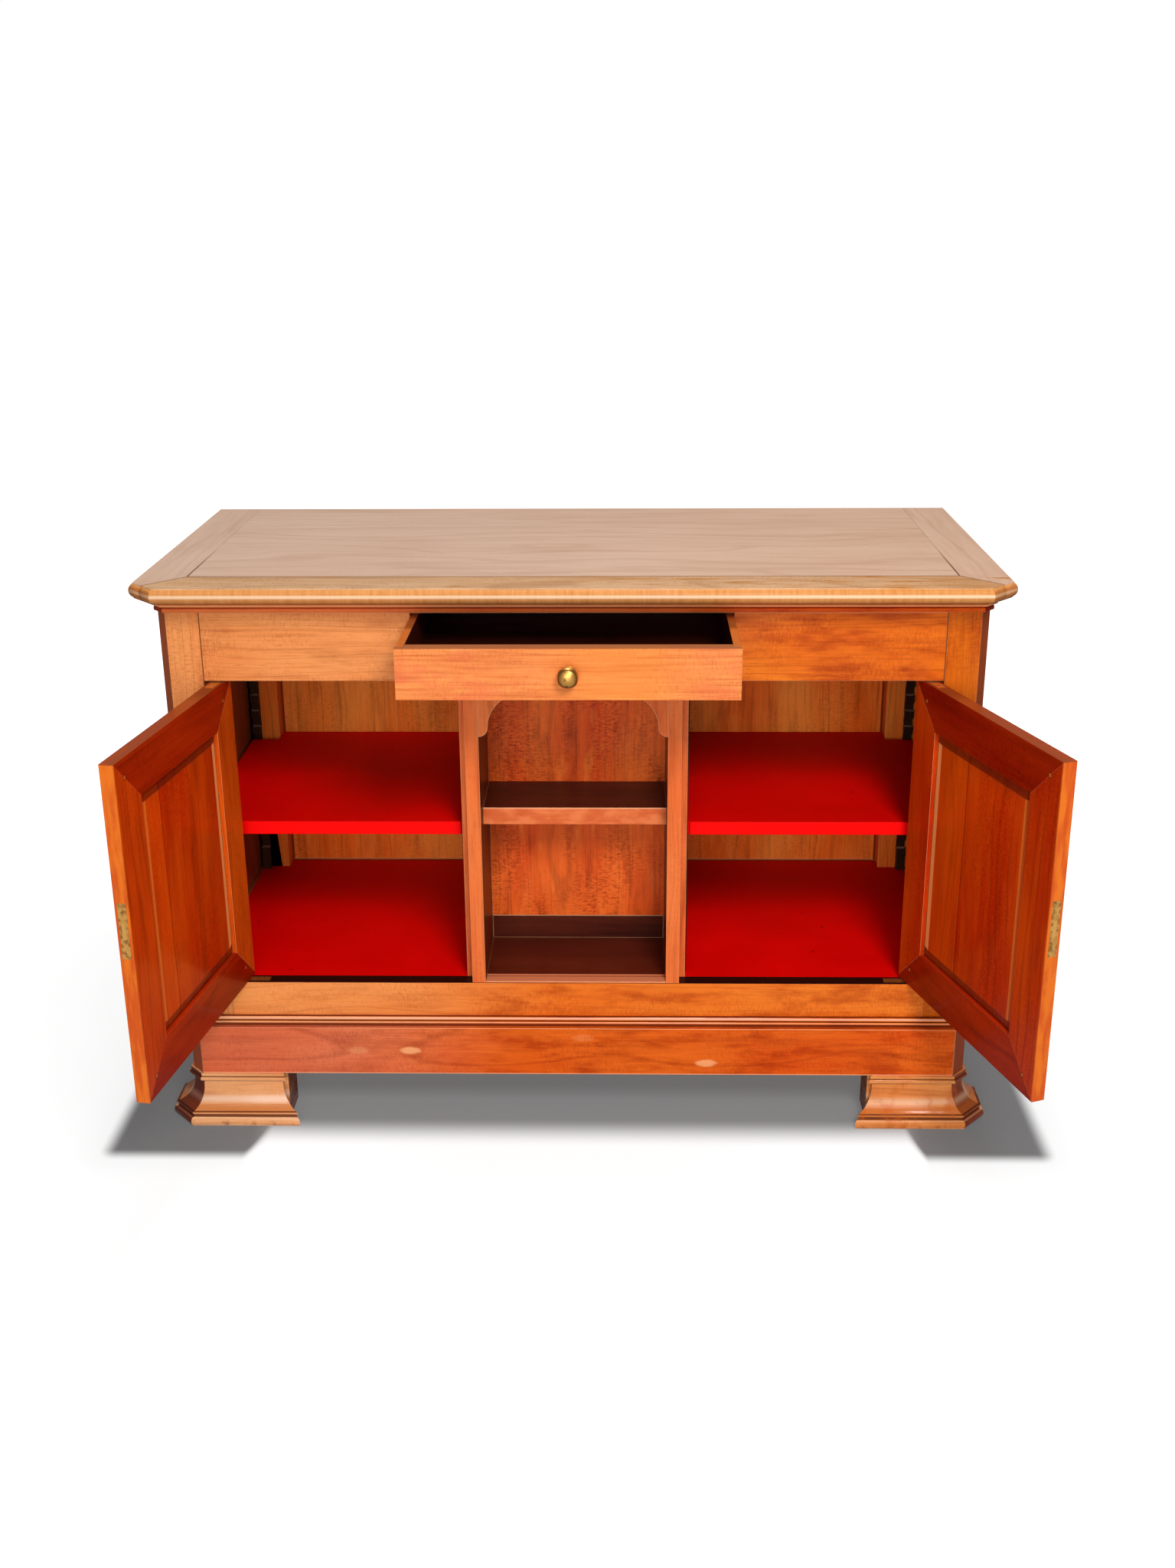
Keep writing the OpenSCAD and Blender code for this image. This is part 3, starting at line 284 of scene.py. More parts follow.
def wood(name, tones, grain, turn=0.0, seed=0, figure=0.15, rings=1.0, gloss=0.42, coat=0.2, sun=0.9,
         cants=True, arris=0.5, paint=None):
    """Polished wood. Along the grain everything is stretched.

    Year rings: smooth noise of the distance from the tree's heart, which lies behind the board, so that
    wide boards show long arches. Flames, fibres and streaks: finer noise drawn out along the grain. Figure:
    narrow ripples across the grain that come and go, and clouds. Pores: the highest tips of very fine noise.
    sun: a painted sheen, which leaves the left paler: towards the right end and the floor the colour is dyed
    deeper and the figure's clouds darker. cants: painted shade darkens the cut-off corners. arris: rubbed
    pale, with a painted highlight, along the rounded arrises, where the face's direction lies between two
    axes.
    paint(look, colour, x, y, z) may add to the colour, and works in the piece's own turned coordinates.
    """
    look = Look(bpy.data.materials.new(name))
    axes = look.place(turn)
    rng = np.random.default_rng(seed)
    shift = rng.uniform(-5, 5, 3)
    a, b, c = [axes[i] + float(shift[n]) for n, i in enumerate(GRAIN_ORDER[grain])]

    def drawn(along, across, detail=2.0, rough=0.5):
        return look.noise((a, b, c), (along, across, across), detail, rough)

    dark, mid, light = tones
    slow = drawn(2.2, 8.0, 3.0)
    sway = drawn(2.4, 7.0, 1.0)
    heart_b = float(shift[1] + rng.uniform(-0.05, 0.05))
    heart_c = float(shift[2] + HEART_BEHIND)
    away = ((b - heart_b) ** 2.0 + (c - heart_c) ** 2.0) ** 0.5
    ring = look.line_noise((away + (sway - 0.5) * 0.05) * (RINGS_PER_METRE * rings), 2.0)
    flame = drawn(5.0, 34.0, 2.0, 0.6)
    fibre = drawn(10.0, 400.0, 3.0, 0.6)
    streak = drawn(5.0, 130.0)
    ripple = drawn(300.0, 110.0, 3.0, 0.6)
    comes = look.smooth(drawn(7.0, 12.0), 0.36, 0.62)
    cloud = drawn(10.0, 34.0, 4.0, 0.6)
    pores = look.smooth(drawn(60.0, 1300.0, 1.0), 0.66, 0.74)

    colour = look.mix(look.smooth(slow, 0.32, 0.66) * 0.8, mid, light)
    colour = look.mix(look.smooth(flame, 0.5, 0.74) * 0.3, colour, dark)
    colour = look.mix(look.smooth(flame, 0.44, 0.26) * 0.4, colour, light)
    colour = look.mix(look.smooth(cloud, 0.5, 0.74) * figure * 0.6, colour, dark)
    colour = look.mix(look.smooth(cloud, 0.46, 0.28) * figure, colour, light)
    colour = look.mix(look.smooth(ring, 0.54, 0.74) * 0.26, colour, dark)
    drawn_out = look.smooth(streak, 0.52, 0.76) * 0.22 + look.smooth(fibre, 0.5, 0.74) * 0.2
    colour = look.mix(drawn_out, colour, dark)
    colour = look.mix(look.smooth(fibre, 0.48, 0.28) * 0.3, colour, light)
    colour = look.mix(comes * look.smooth(ripple, 0.46, 0.76) * figure * 0.8, colour, dark)
    colour = look.mix(comes * look.smooth(ripple, 0.54, 0.28) * figure * 0.8, colour, light)
    colour = look.mix(pores * 0.4, colour, dark)
    # Painted sheen: towards the right end and the floor it falls off, the colour is dyed deeper and the
    # figure's clouds darker
    if sun:
        lit = look.smooth(axes[0] - axes[2] * 0.55 + (slow - 0.5) * 0.3, -0.5, -0.16)
        colour = look.dye(lit * sun, colour, SHEEN_FALLOFF_DYE)
        colour = look.dye(look.smooth(cloud, 0.44, 0.68) * lit * sun, colour, SHEEN_FALLOFF_CLOUD_DYE)
    nx, ny, nz = look.facing(turn)
    side = nx.size()
    # Rubbed pale, with a painted highlight, along the rounded arrises
    if arris:
        squarest = side.most(ny.size(), nz.size())
        colour = look.mix(look.smooth(squarest, 0.995, 0.94) * arris, colour, ARRIS_WEAR_HIGHLIGHT)
    # Painted shade on the cut-off corners
    if cants:
        slant = look.smooth(side * ny * -2.0 / (side ** 2.0 + ny ** 2.0 + 0.01), 0.74, 0.94)
        colour = look.dye(slant * 0.9, colour, CANT_SHADE_DYE)
    if paint:
        colour = paint(look, colour, *axes)
    height = fibre * 0.5 + ring * 0.2 + ripple * (figure * 0.6) - pores * 0.6
    rough = drawn(9.0, 22.0, 3.0) * 0.12 + (gloss - 0.06) + pores * 0.15
    return look.surface(colour, rough, height, 0.1, Coat_Weight=coat, Coat_Roughness=0.14, IOR=1.14)


def red_paint(name, seed, front, fade):
    """Red satin paint: brush lines along the board, a slight skin, specks, painted shade deeper towards the
    back by the fade, and a painted highlight on the edge at the front."""
    look = Look(bpy.data.materials.new(name))
    x, y, z = place = look.place()
    brush = look.noise(place, (4.0, 260.0, 260.0), shift=seed)
    skin = look.noise(place, (240.0, 240.0, 240.0), 1.0)
    cloud = look.noise(place, (6.0, 6.0, 6.0), 3.0, shift=seed)
    speck = look.smooth(look.noise(place, (70.0, 70.0, 70.0), 1.0, shift=seed), 0.78, 0.82)
    colour = look.mix(look.smooth(cloud, 0.3, 0.7), linear(240, 2, 1), linear(254, 4, 3))
    colour = look.mix(look.smooth(brush, 0.5, 0.8) * 0.12, colour, linear(190, 1, 1))
    # Painted shade, deeper towards the back by the fade
    colour = look.mix(look.smooth(y, front + 0.1, front + 0.42) * fade, colour, linear(176, 1, 1))
    # Painted highlight on the edge at the front
    colour = look.mix(look.smooth(y, front + 3 * MM, front + 0.5 * MM), colour, linear(252, 5, 4))
    colour = look.mix(speck * 0.6, colour, linear(120, 6, 4))
    return look.surface(colour, cloud * 0.12 + 0.42, brush * 0.3 + skin * 0.35, 0.08, IOR=1.15)


def brass(name, seed, rub, metal):
    """Old brass: brown patina in clouds, rubbed bright where hands touch it, fine scratches, and painted
    shade where its faces turn between the axes, as on rims and arrises.
    """
    look = Look(bpy.data.materials.new(name))
    place = look.place()
    cloud = look.noise(place, (120.0, 120.0, 120.0), 3.0, shift=seed)
    fine = look.noise(place, (900.0, 900.0, 2600.0))
    patina = look.smooth(cloud, 0.62 - 0.25 * rub, 0.36 - 0.1 * rub)
    colour = look.mix(patina * 0.8, linear(220, 164, 84), linear(132, 80, 30))
    colour = look.mix(look.smooth(fine, 0.6, 0.75) * 0.3, colour, linear(90, 54, 22))
    # Painted shade where the face turns between the axes
    nx, ny, nz = look.facing()
    squarest = nx.size().most(ny.size(), nz.size())
    colour = look.mix(look.smooth(squarest, 0.9, 0.72) * 0.75, colour, linear(96, 56, 18))
    return look.surface(colour, patina * 0.14 + 0.34 + fine * 0.08, fine, 0.05, Metallic=metal)


# Pieces taken over from the part

record = frame["record"]
body_of = {node: body for body, nodes in record["behaviour"]["bodies"].items() for node in nodes}


def eased(node, width, look):
    """The part's own solid with its doubled points merged, flat faces joined, and its arrises rounded."""
    mesh = frame["nodes"][node].data.copy()
    mesh.name = node + "_eased"
    work = bmesh.new()
    work.from_mesh(mesh)
    bmesh.ops.remove_doubles(work, verts=work.verts, dist=DOUBLED)
    bmesh.ops.dissolve_limit(work, angle_limit=FLAT, verts=work.verts, edges=work.edges)
    for face in work.faces:
        bends = [edge.calc_face_angle() for edge in face.edges if len(edge.link_faces) == 2]
        face.smooth = any(LEVEL < bend < SHARP for bend in bends)
    work.to_mesh(mesh)
    work.free()
    mesh.materials.clear()
    mesh.materials.append(look)
    piece = bpy.data.objects.new(node + "_eased", mesh)
    bpy.context.scene.collection.objects.link(piece)
    bevel = piece.modifiers.new("arrises", "BEVEL")
    bevel.width = width
    bevel.segments = 2
    bevel.limit_method = "ANGLE"
    bevel.angle_limit = SHARP
    bevel.harden_normals = True
    bevel.miter_outer = "MITER_ARC"
    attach(piece, body_of[node])
    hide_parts(node)


def dress(node, look):
    """One of the part's own solids, with a look put on it."""
    mesh = frame["nodes"][node].data
    mesh.materials.clear()
    mesh.materials.append(look)


# Paint jobs on single pieces

def top_lines(look, colour, x, y, z):
    """The top: thin dark joints round its field and along the mitres, flaked varnish along the front, and an
    edge that is more golden than the flat, whose pale tones carry a painted sheen. On the edge a painted
    highlight where it stands proudest, painted shade on its cut-off corners and a dark line of painted shade
    under it."""
    side = x.size()
    run = y - FRONT_Y
    outside = look.smooth(run, TOP_JOINT_Y + 0.4 * MM, TOP_JOINT_Y - 0.4 * MM)
    level = (run - TOP_JOINT_Y).size() + look.smooth(side, TOP_JOINT_X, TOP_JOINT_X + 1 * MM)
    across = (side - TOP_JOINT_X).size() + outside
    mitre = (run - TOP_JOINT_Y + (side - TOP_JOINT_X)).size() * 0.7 + (1.0 - outside)
    near = level.least(across, mitre)
    fades = look.smooth(run, 0.24, 0.06) * 0.7 + 0.1
    colour = look.mix(look.smooth(near, 2.1 * MM, 0.9 * MM) * fades, colour, linear(92, 48, 32))
    flake = look.noise((x, y, z), (9.0, 60.0, 1.0), 4.0, 0.65)
    worn = (look.smooth(x, -0.5, 0.5) * 0.6 + 0.3) * outside
    colour = look.mix(look.smooth(flake, 0.5, 0.62) * worn, colour, linear(192, 132, 72))
    colour = look.mix(look.smooth(flake, 0.62, 0.66) * worn * 0.7, colour, linear(128, 76, 36))
    colour = look.dye(look.smooth(x, -0.3, 0.6) * 0.5, colour, (1.0, 0.9, 0.82))
    below = z * -1.0 + TOP_LEVEL
    edge = look.smooth(below, 1.2 * MM, 2.2 * MM)
    golden = look.mix(look.noise((x, y, z), (160.0, 20.0, 20.0)), linear(184, 104, 42), linear(228, 160, 90))
    colour = look.mix(edge * 0.9, colour, golden)
    # Painted highlight where the edge stands proudest
    colour = look.mix(look.band(below, 10 * MM, 15 * MM, 1.5 * MM) * 0.75, colour, linear(255, 218, 180))
    # Painted shade on the edge's cut-off corners
    nx, ny, _ = look.facing()
    corner = edge * look.smooth(nx.size() * ny * -1.0, 0.2, 0.4)
    colour = look.dye(corner * 0.7, colour, (0.62, 0.42, 0.26))
    # Painted shade: a dark line under the edge
    return look.mix(look.smooth(below, 23.5 * MM, 24.8 * MM) * 0.8, colour, linear(110, 46, 16))


def cornice_lines(look, colour, x, y, z):
    """Under the top: a painted highlight on the lower arris and on the bead, painted shade in the fine groove
    and the cove.
    """
    up = z - CORNICE_LOW
    # Painted shade in the groove and the cove, painted highlights on the lower arris and the bead
    dark = look.band(up, 7.2 * MM, 8.8 * MM, 0.5 * MM) + look.smooth(up, 16.5 * MM, 18.5 * MM) * 0.3
    pale = look.smooth(up, 1.2 * MM, 0.6 * MM) * 0.5 + look.band(up, 10.6 * MM, 14.2 * MM, 0.8 * MM)
    colour = look.mix(dark * 0.8, colour, linear(132, 36, 6))
    return look.mix(pale * 0.8, colour, linear(255, 172, 112))


def post_joint(look, colour, x, y, z):
    """A front post: the right one is deeper in colour, where the painted sheen falls off. Towards the rails
    it has a dark joint, which hardly shows beside the rail under the doors."""
    # Deeper to the right, where the painted sheen falls off
    colour = look.dye(look.smooth(x, 0.0, 0.4) * 0.7, colour, (0.84, 0.74, 0.4))
    shows = look.smooth(z, 0.28, 0.4) * 0.7 + 0.1
    return look.mix(look.smooth(x.size(), POST_IN + 1.6 * MM, POST_IN + 0.8 * MM) * shows, colour, JOINT)


def rail_joint(look, colour, x, y, z):
    """The same joint on the rail's side of it."""
    return look.mix(look.smooth(x.size(), POST_IN - 1.2 * MM, POST_IN - 0.4 * MM) * 0.6, colour, JOINT)


def inside(node):
    """A side's inner face, darkened as painted shade."""
    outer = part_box(node)[1][0] - 2.5 * MM

    def job(look, colour, x, y, z):
        # Painted shade on the inner face
        return look.dye(look.smooth(x.size(), outer, outer - 0.6 * MM) * 0.9, colour, (0.3, 0.24, 0.2))
    return job


def teeth(look, colour, x, y, z):
    """A shelf rack: a painted highlight makes the upper faces of its teeth paler than the notches between
    them.
    """
    # Painted highlight on the upper faces of the teeth
    return look.mix(look.smooth(look.facing()[2], 0.5, 0.9) * 0.9, colour, linear(190, 172, 140))


def ovals(look, colour, x, y, z):
    """The plinth: darker and redder to the left as a painted shadow of the left door, a painted highlight on
    the lower arris, pale worn ovals with ragged rims.
    """
    # Painted shadow of the left door: darker and redder to the left
    colour = look.dye(look.smooth(x, -0.1, -0.6) * 0.8, colour, (0.84, 0.66, 0.72))
    # Painted highlight on the lower arris
    low = look.smooth(z, PLINTH_LOW + 3 * MM, PLINTH_LOW + 1.6 * MM)
    colour = look.mix(low * 0.7, colour, linear(252, 176, 132))
    rag = look.noise((x, y, z), (90.0, 90.0, 260.0))
    for across, up, much in OVALS:
        off = ((x - across) / OVAL_HALF_WIDE) ** 2.0 + ((z - up) / OVAL_HALF_HIGH) ** 2.0 + (rag - 0.5) * 1.2
        colour = look.mix(look.smooth(off, 1.4, 0.3) * much, colour, linear(255, 176, 118))
    return colour


def base_lines(look, colour, x, y, z):
    """Above the plinth: painted shade in the groove, a bead with a faint painted highlight, a dark line of
    painted shade, a painted highlight on the larger bead, and painted shade against the rail.
    """
    up = z - MOULD_LOW
    # Painted shade in the grooves and painted highlights on the beads
    dark = look.smooth(up, 5.2 * MM, 4.2 * MM).most(look.band(up, 10.2 * MM, 11.6 * MM, 0.4 * MM),
                                                    look.smooth(up, 19.2 * MM, 19.8 * MM))
    pale = look.band(up, 7.6 * MM, 9.4 * MM, 0.6 * MM) * 0.6 + look.band(up, 15.2 * MM, 18.4 * MM, 0.8 * MM)
    colour = look.mix(dark * 0.9, colour, linear(84, 20, 10))
    return look.mix(pale * 0.75, colour, linear(250, 190, 160))


def foot_lines(look, colour, x, y, z):
    """A foot: painted shade deeper at the cove's foot and a painted highlight at its half height, painted
    shade in the grooves, painted highlights on the arrises, scuffs near the floor. The right feet are more
    orange, with flames. Painted shade darkens the cut-off corners and the inner ends. Heights are shares of
    the foot's own."""
    up = z / FOOT_HIGH
    # Painted shade at the cove's foot and a painted highlight at its half height
    under_cove = look.smooth(up, 0.46, 0.34) * look.smooth(up, 0.24, 0.28)
    colour = look.mix(under_cove * 0.7, colour, linear(204, 112, 48))
    colour = look.mix(look.band(up, 0.45, 0.53, 0.07) * 0.75, colour, linear(252, 214, 190))
    scuff = look.smooth(look.noise((x, y, z), (60.0, 60.0, 30.0), 3.0), 0.5, 0.7)
    colour = look.mix(scuff * look.smooth(up, 0.16, 0.02) * 0.6, colour, linear(120, 54, 22))
    # Painted shade in the grooves
    grooves = look.band(up, 0.176, 0.232, 0.006).most(look.band(up, 0.275, 0.292, 0.005),
                                                      look.band(up, 0.926, 0.946, 0.006),
                                                      look.band(up, 0.83, 0.852, 0.006) * 0.6)
    colour = look.mix(grooves * 0.9, colour, linear(96, 38, 12))
    # Painted highlights on the arrises
    rubbed = look.smooth(up, 0.03, 0.012).most(look.band(up, 0.86, 0.875, 0.006) * 0.7,
                                               look.band(up, 0.155, 0.17, 0.005) * 0.7)
    colour = look.mix(rubbed * 0.6, colour, linear(252, 214, 178))
    left = look.smooth(x, 0.2, -0.2)
    flame = look.noise((x, y, z), (26.0, 40.0, 16.0), 4.0, 0.6)
    colour = look.dye((1.0 - left) * 0.8, colour, (1.0, 0.86, 0.62))
    colour = look.mix(look.smooth(flame, 0.5, 0.68) * (1.0 - left) * 0.6, colour, linear(206, 98, 30))
    # Painted shade on the cut-off corners and the inner ends
    nx, ny, _ = look.facing()
    ratio = nx.size() / (ny.size() + 0.02)
    cant = look.band(ratio, 0.6, 1.7, 0.2) * look.smooth(ny, -0.05, -0.2) * (left * 0.5 + 0.35)
    turned = cant.most(look.smooth(nx * x, -0.1, -0.25) * 0.85)
    return look.dye(turned, colour, (0.24, 0.07, 0.03))


def ledge(look, colour, x, y, z):
    """The rail's upper edge: dark behind the doors."""
    return look.mix(look.smooth(z, RAIL_TOP - 0.9 * MM, RAIL_TOP - 0.4 * MM), colour, linear(44, 14, 8))


def lip(look, colour, x, y, z):
    """The front strip of the niche's floor shows bare cherry with a dark line between; the rest is dark."""
    run = y - FRONT_Y
    streak = look.noise((x, y, z), (6.0, 380.0, 380.0))
    colour = look.mix(0.35, colour, linear(124, 42, 20))
    bare = look.mix(streak, linear(224, 122, 78), linear(246, 160, 112))
    line = look.smooth((run - 19 * MM).size(), 2.2 * MM, 0.8 * MM)
    bare = look.mix(line * 0.7, bare, linear(150, 62, 34))
    return look.mix(look.smooth(run, 27 * MM, 26.2 * MM), colour, bare)


def shelf_edge(look, colour, x, y, z):
    """The niche shelf's front edge is bare cherry, with a painted highlight along its upper arris."""
    streak = look.noise((x, y, z), (6.0, 380.0, 380.0))
    blotch = look.smooth(look.noise((x, y, z), (30.0, 60.0, 60.0), 3.0), 0.35, 0.65)
    bare = look.mix(streak * 0.5 + blotch * 0.5, linear(204, 82, 34), linear(242, 136, 80))
    # Painted highlight along the upper arris
    upper = look.smooth(z, NICHE_SHELF_TOP - 3 * MM, NICHE_SHELF_TOP - 1.4 * MM)
    bare = look.mix(upper * 0.45, bare, linear(255, 196, 150))
    return look.mix(look.smooth(y, NICHE_SHELF_FRONT + 1.2 * MM, NICHE_SHELF_FRONT + 0.6 * MM), colour, bare)


def stile_side(look, colour, x, y, z):
    """Painted shade: the stile's side towards the niche is as dark as the niche's walls."""
    # Painted shade on the side towards the niche
    inner = look.smooth(x.size(), NICHE_HALF + 1.6 * MM, NICHE_HALF + 0.8 * MM)
    behind = look.smooth(y, FRONT_Y + 1 * MM, FRONT_Y + 2 * MM)
    return look.mix(inner * behind * 0.9, colour, linear(66, 16, 5))


def drawer_side(look, colour, x, y, z):
    """A drawer's side: dark inside, with dark stain and painted shade, orange on its outer face and its upper
    edge.
    """
    outer = look.smooth(x.size(), DRAWER_HALF - 1.2 * MM, DRAWER_HALF - 0.6 * MM)
    upper = look.smooth(z, DRAWER_SIDE_TOP - 1.2 * MM, DRAWER_SIDE_TOP - 0.6 * MM)
    return look.mix(outer.most(upper), colour, linear(198, 104, 44))


def drawer_face(look, colour, x, y, z):
    """The drawer's front: level streaks, blotches redder towards both ends, golden right of the knob, a dull
    upper edge and a dark inner side, of dark stain and painted shade."""
    streak = look.noise((x, y, z), (7.0, 40.0, 230.0), 4.0, 0.62)
    colour = look.mix(look.smooth(streak, 0.46, 0.7) * 0.55, colour, linear(200, 84, 38))
    colour = look.mix(look.smooth(streak, 0.44, 0.3) * 0.35, colour, linear(252, 170, 108))
    blotch = look.smooth(look.noise((x, y, z), (16.0, 30.0, 30.0), 4.0, 0.6), 0.42, 0.64)
    ends = look.smooth(x, 0.0, -0.18) * 0.55 + look.smooth(x, 0.1, 0.25) * 0.4
    colour = look.mix(blotch * ends, colour, linear(228, 104, 66))
    colour = look.mix(look.band(x, 0.0, 0.16, 0.06) * 0.4, colour, linear(244, 142, 52))
    upper = look.smooth(z, DRAWER_FACE_TOP - 0.9 * MM, DRAWER_FACE_TOP - 0.4 * MM)
    colour = look.mix(upper * 0.85, colour, linear(150, 88, 52))
    # The inner side: dark stain with painted shade
    inner = look.smooth(y, DRAWER_FACE_Y + 20.8 * MM, DRAWER_FACE_Y + 21.4 * MM)
    return look.mix(inner, colour, linear(54, 22, 12))


def turned_pivot(turn):
    """Where a door's pivot lies in the coordinates that are turned with the door."""
    return Matrix.Rotation(turn, 3, "Z") @ Vector((PIVOT_X * (-1 if turn > 0 else 1), PIVOT_Y, 0.0))


def along_door(turn, x):
    """How far a point of a door lies from the pivot, towards the lock."""
    return (x - turned_pivot(turn).x) * (1.0 if turn > 0 else -1.0)


def door_paint(turn):
    """A door's frame: the closing edge paler and more orange as a painted highlight, the upper edge dull,
    pegs in the corners.
    """
    def job(look, colour, x, y, z):
        along = along_door(turn, x)
        tone = look.smooth(look.noise((x, y, z), (40.0, 90.0, 16.0), 4.0), 0.36, 0.64)
        lead = look.mix(tone, linear(212, 88, 28), linear(236, 122, 34))
        # Painted highlight on the closing edge
        colour = look.mix(look.smooth(along, DOOR_LEAD - 3.5 * MM, DOOR_LEAD - 1.5 * MM) * 0.85, colour, lead)
        for across, up in PEG_PLACES:
            off = ((along - across) ** 2.0 + (z - up) ** 2.0) ** 0.5
            colour = look.mix(look.smooth(off, 5.2 * MM, 4.4 * MM) * 0.6, colour, linear(70, 14, 4))
            colour = look.mix(look.smooth(off, 3.6 * MM, 2.8 * MM) * 0.75, colour, linear(214, 110, 50))
        upper = look.smooth(z, DOOR_HIGH - 1.4 * MM, DOOR_HIGH - 0.6 * MM)
        return look.mix(upper * 0.85, colour, linear(150, 66, 24))
    return job


def panel_paint(turn):
    """A door's panel: two planks of unlike depth with a seam between, painted shade on the level bevels and
    in a dark line round the rim. On the inner face a painted highlight brightens the bevel at the hinge, and
    the arris of the one at the lock."""
    def job(look, colour, x, y, z):
        along = along_door(turn, x)
        seam = LEFT_SEAM if turn > 0 else RIGHT_SEAM
        outer = look.smooth(along, seam - 1 * MM, seam + 1 * MM)
        deep = 1.0 - outer if turn > 0 else outer
        colour = look.dye(deep * 0.5, colour, (0.72, 0.6, 0.6))
        colour = look.mix((1.0 - deep) * 0.25, colour, linear(214, 86, 10))
        line = look.smooth((along - seam).size(), 1.8 * MM, 0.6 * MM)
        colour = look.mix(line * 0.6, colour, linear(70, 12, 3))
        above, under = z - PANEL_LOW, z * -1.0 + PANEL_HIGH
        # Painted shade on the level bevels
        level = look.smooth(above.least(under), PANEL_BEVEL + 2 * MM, PANEL_BEVEL)
        colour = look.mix(level * 0.66, colour, linear(86, 16, 4))
        # Painted highlights on the hinge bevel and the lock bevel's arris, on the inner face only
        within = look.smooth(y - turned_pivot(turn).y, -3 * MM, -1 * MM) * (1.0 - level)
        near, far = along - PANEL_NEAR, along * -1.0 + PANEL_FAR
        rise = PANEL_BEVEL + 2.5 * MM, PANEL_BEVEL + 0.5 * MM
        bright = look.smooth(near, *rise).most(look.smooth(far, *rise) * 0.12)
        colour = look.mix(bright * within * 0.85, colour, linear(255, 168, 96))
        ridge = look.band(far, PANEL_BEVEL - 2.5 * MM, PANEL_BEVEL + 1.5 * MM, 0.8 * MM)
        colour = look.mix(ridge * within * 0.6, colour, linear(240, 122, 34))
        # Painted shade in a dark line round the rim
        rim = near.least(far, above, under)
        return look.mix(look.smooth(rim, 3 * MM, 1.4 * MM) * 0.75, colour, linear(60, 12, 4))
    return job


# Which wood each piece is made of, the way its grain runs, and the width of its bevels in millimetres

PLAN = []


def plan(nodes, tones, grain, bevel, **more):
    """Puts pieces of one kind onto the plan, with the values in which their wood differs."""
    PLAN.extend((node, tones, grain, bevel, more) for node in nodes.split())


TOP_FINISH = {"gloss": 0.5, "coat": 0.06, "cants": False, "sun": 0, "arris": 0, "paint": top_lines}
plan("top_field", TOP, "x", 0.5, **TOP_FINISH)
plan("top_front_rail", TOP_FRONT, "x", 0.5, figure=0.35, **TOP_FINISH)
plan("top_left_rail top_right_rail", TOP, "y", 0.5, **TOP_FINISH)
plan("cornice_moulding", STILE, "x", 0.4, coat=0.1, arris=0, paint=cornice_lines)
plan("left_front_post right_front_post", CHERRY, "z", 1.5, figure=0.45, paint=post_joint)
plan("front_top_rail", CHERRY, "x", 0.8, figure=0.3, paint=rail_joint)
plan("bottom_rail", RAIL, "x", 0.8, figure=0.5, sun=0.8, paint=ledge)
plan("frieze_board", CHERRY, "x", 0.8, figure=0.45, paint=rail_joint)
plan("left_side_rails right_side_rails", CHERRY, "y", 1.0, paint=inside("right_side_rails"))
plan("side_panels", CHERRY, "z", 1.5, sun=0.5, paint=inside("side_panels"))
plan("left_rear_post right_rear_post", PLAIN, "z", 1.5, sun=0)
plan("back_frame", PLAIN, "x", 1.0, sun=0)
plan("back_panels", PLAIN, "z", 0.8, rings=0.7, sun=0, figure=0.35)
plan("left_centre_stile right_centre_stile", STILE, "z", 1.6, sun=0, paint=stile_side)
plan("left_partition right_partition", WALL, "z", 0.8, sun=0)
plan("niche_apron", STILE, "z", 1.2, sun=0, figure=0.25)
plan("niche_back", NICHE, "z", 0.6, sun=0, figure=0.8)
plan("niche_back_rail", DARK, "x", 1.2, gloss=0.3, sun=0)
plan("niche_floor", DARK, "x", 0.8, gloss=0.3, sun=0, paint=lip)
plan("niche_shelf", DARK, "x", 1.2, gloss=0.3, sun=0, paint=shelf_edge)
plan("base_moulding", RAIL, "x", 0.4, coat=0.6, gloss=0.26, arris=0, paint=base_lines)
plan("plinth_front", PLINTH, "x", 1.0, figure=0.3, coat=0.08, paint=ovals)
plan("plinth_sides", PLINTH, "y", 1.0, figure=0.1, coat=0.08)
plan("left_front_foot right_front_foot rear_feet", FOOT, "x", 0.7, gloss=0.28, coat=0.4, sun=0.3, arris=0,
     paint=foot_lines)
plan("drawer_front", DRAWER, "x", 1.6, sun=0, figure=0.5, paint=drawer_face)
# Inside the drawer the dark wood is partly dark stain and partly painted shade
plan("drawer_sides", DARK, "y", 1.0, sun=0, paint=drawer_side)
plan("drawer_back", DARK, "x", 1.0, sun=0)
plan("drawer_bottom", DARK, "x", 0.5, sun=0)
plan("drawer_runners shelf_cleats", PLAIN, "y", 0.8, sun=0)
plan("shelf_racks", RACK, "z", 0.8, sun=0, arris=0, paint=teeth)
# The left hinge stile takes the lighter tones as painted light
for side, turn, hinge_tones in (("left", LEFT_OPEN, DOOR_HINGE), ("right", -RIGHT_OPEN, DOOR_STILE)):
    door = {"turn": turn, "sun": 0, "cants": False, "gloss": 0.36, "coat": 0.25, "figure": 0.3}
    # The frame has wear with painted highlights on its arrises and its closing edge
    frame_wear_highlights = {"arris": 0.7, "paint": door_paint(turn), **door}
    plan(side + "_hinge_stile", hinge_tones, "z", 3.0, **frame_wear_highlights)
    plan(side + "_lock_stile", DOOR_STILE, "z", 3.0, **frame_wear_highlights)
    plan(side + "_door_rails", DOOR_RAIL, "x", 2.2, **frame_wear_highlights)
    plan(side + "_door_panel", DOOR_PANEL, "z", 1.0, arris=0.2, paint=panel_paint(turn), **door)

for number, (node, tones, grain, bevel, more) in enumerate(PLAN):
    eased(node, bevel * MM, wood("wood_" + node, tones, grain, seed=100 + number, **more))

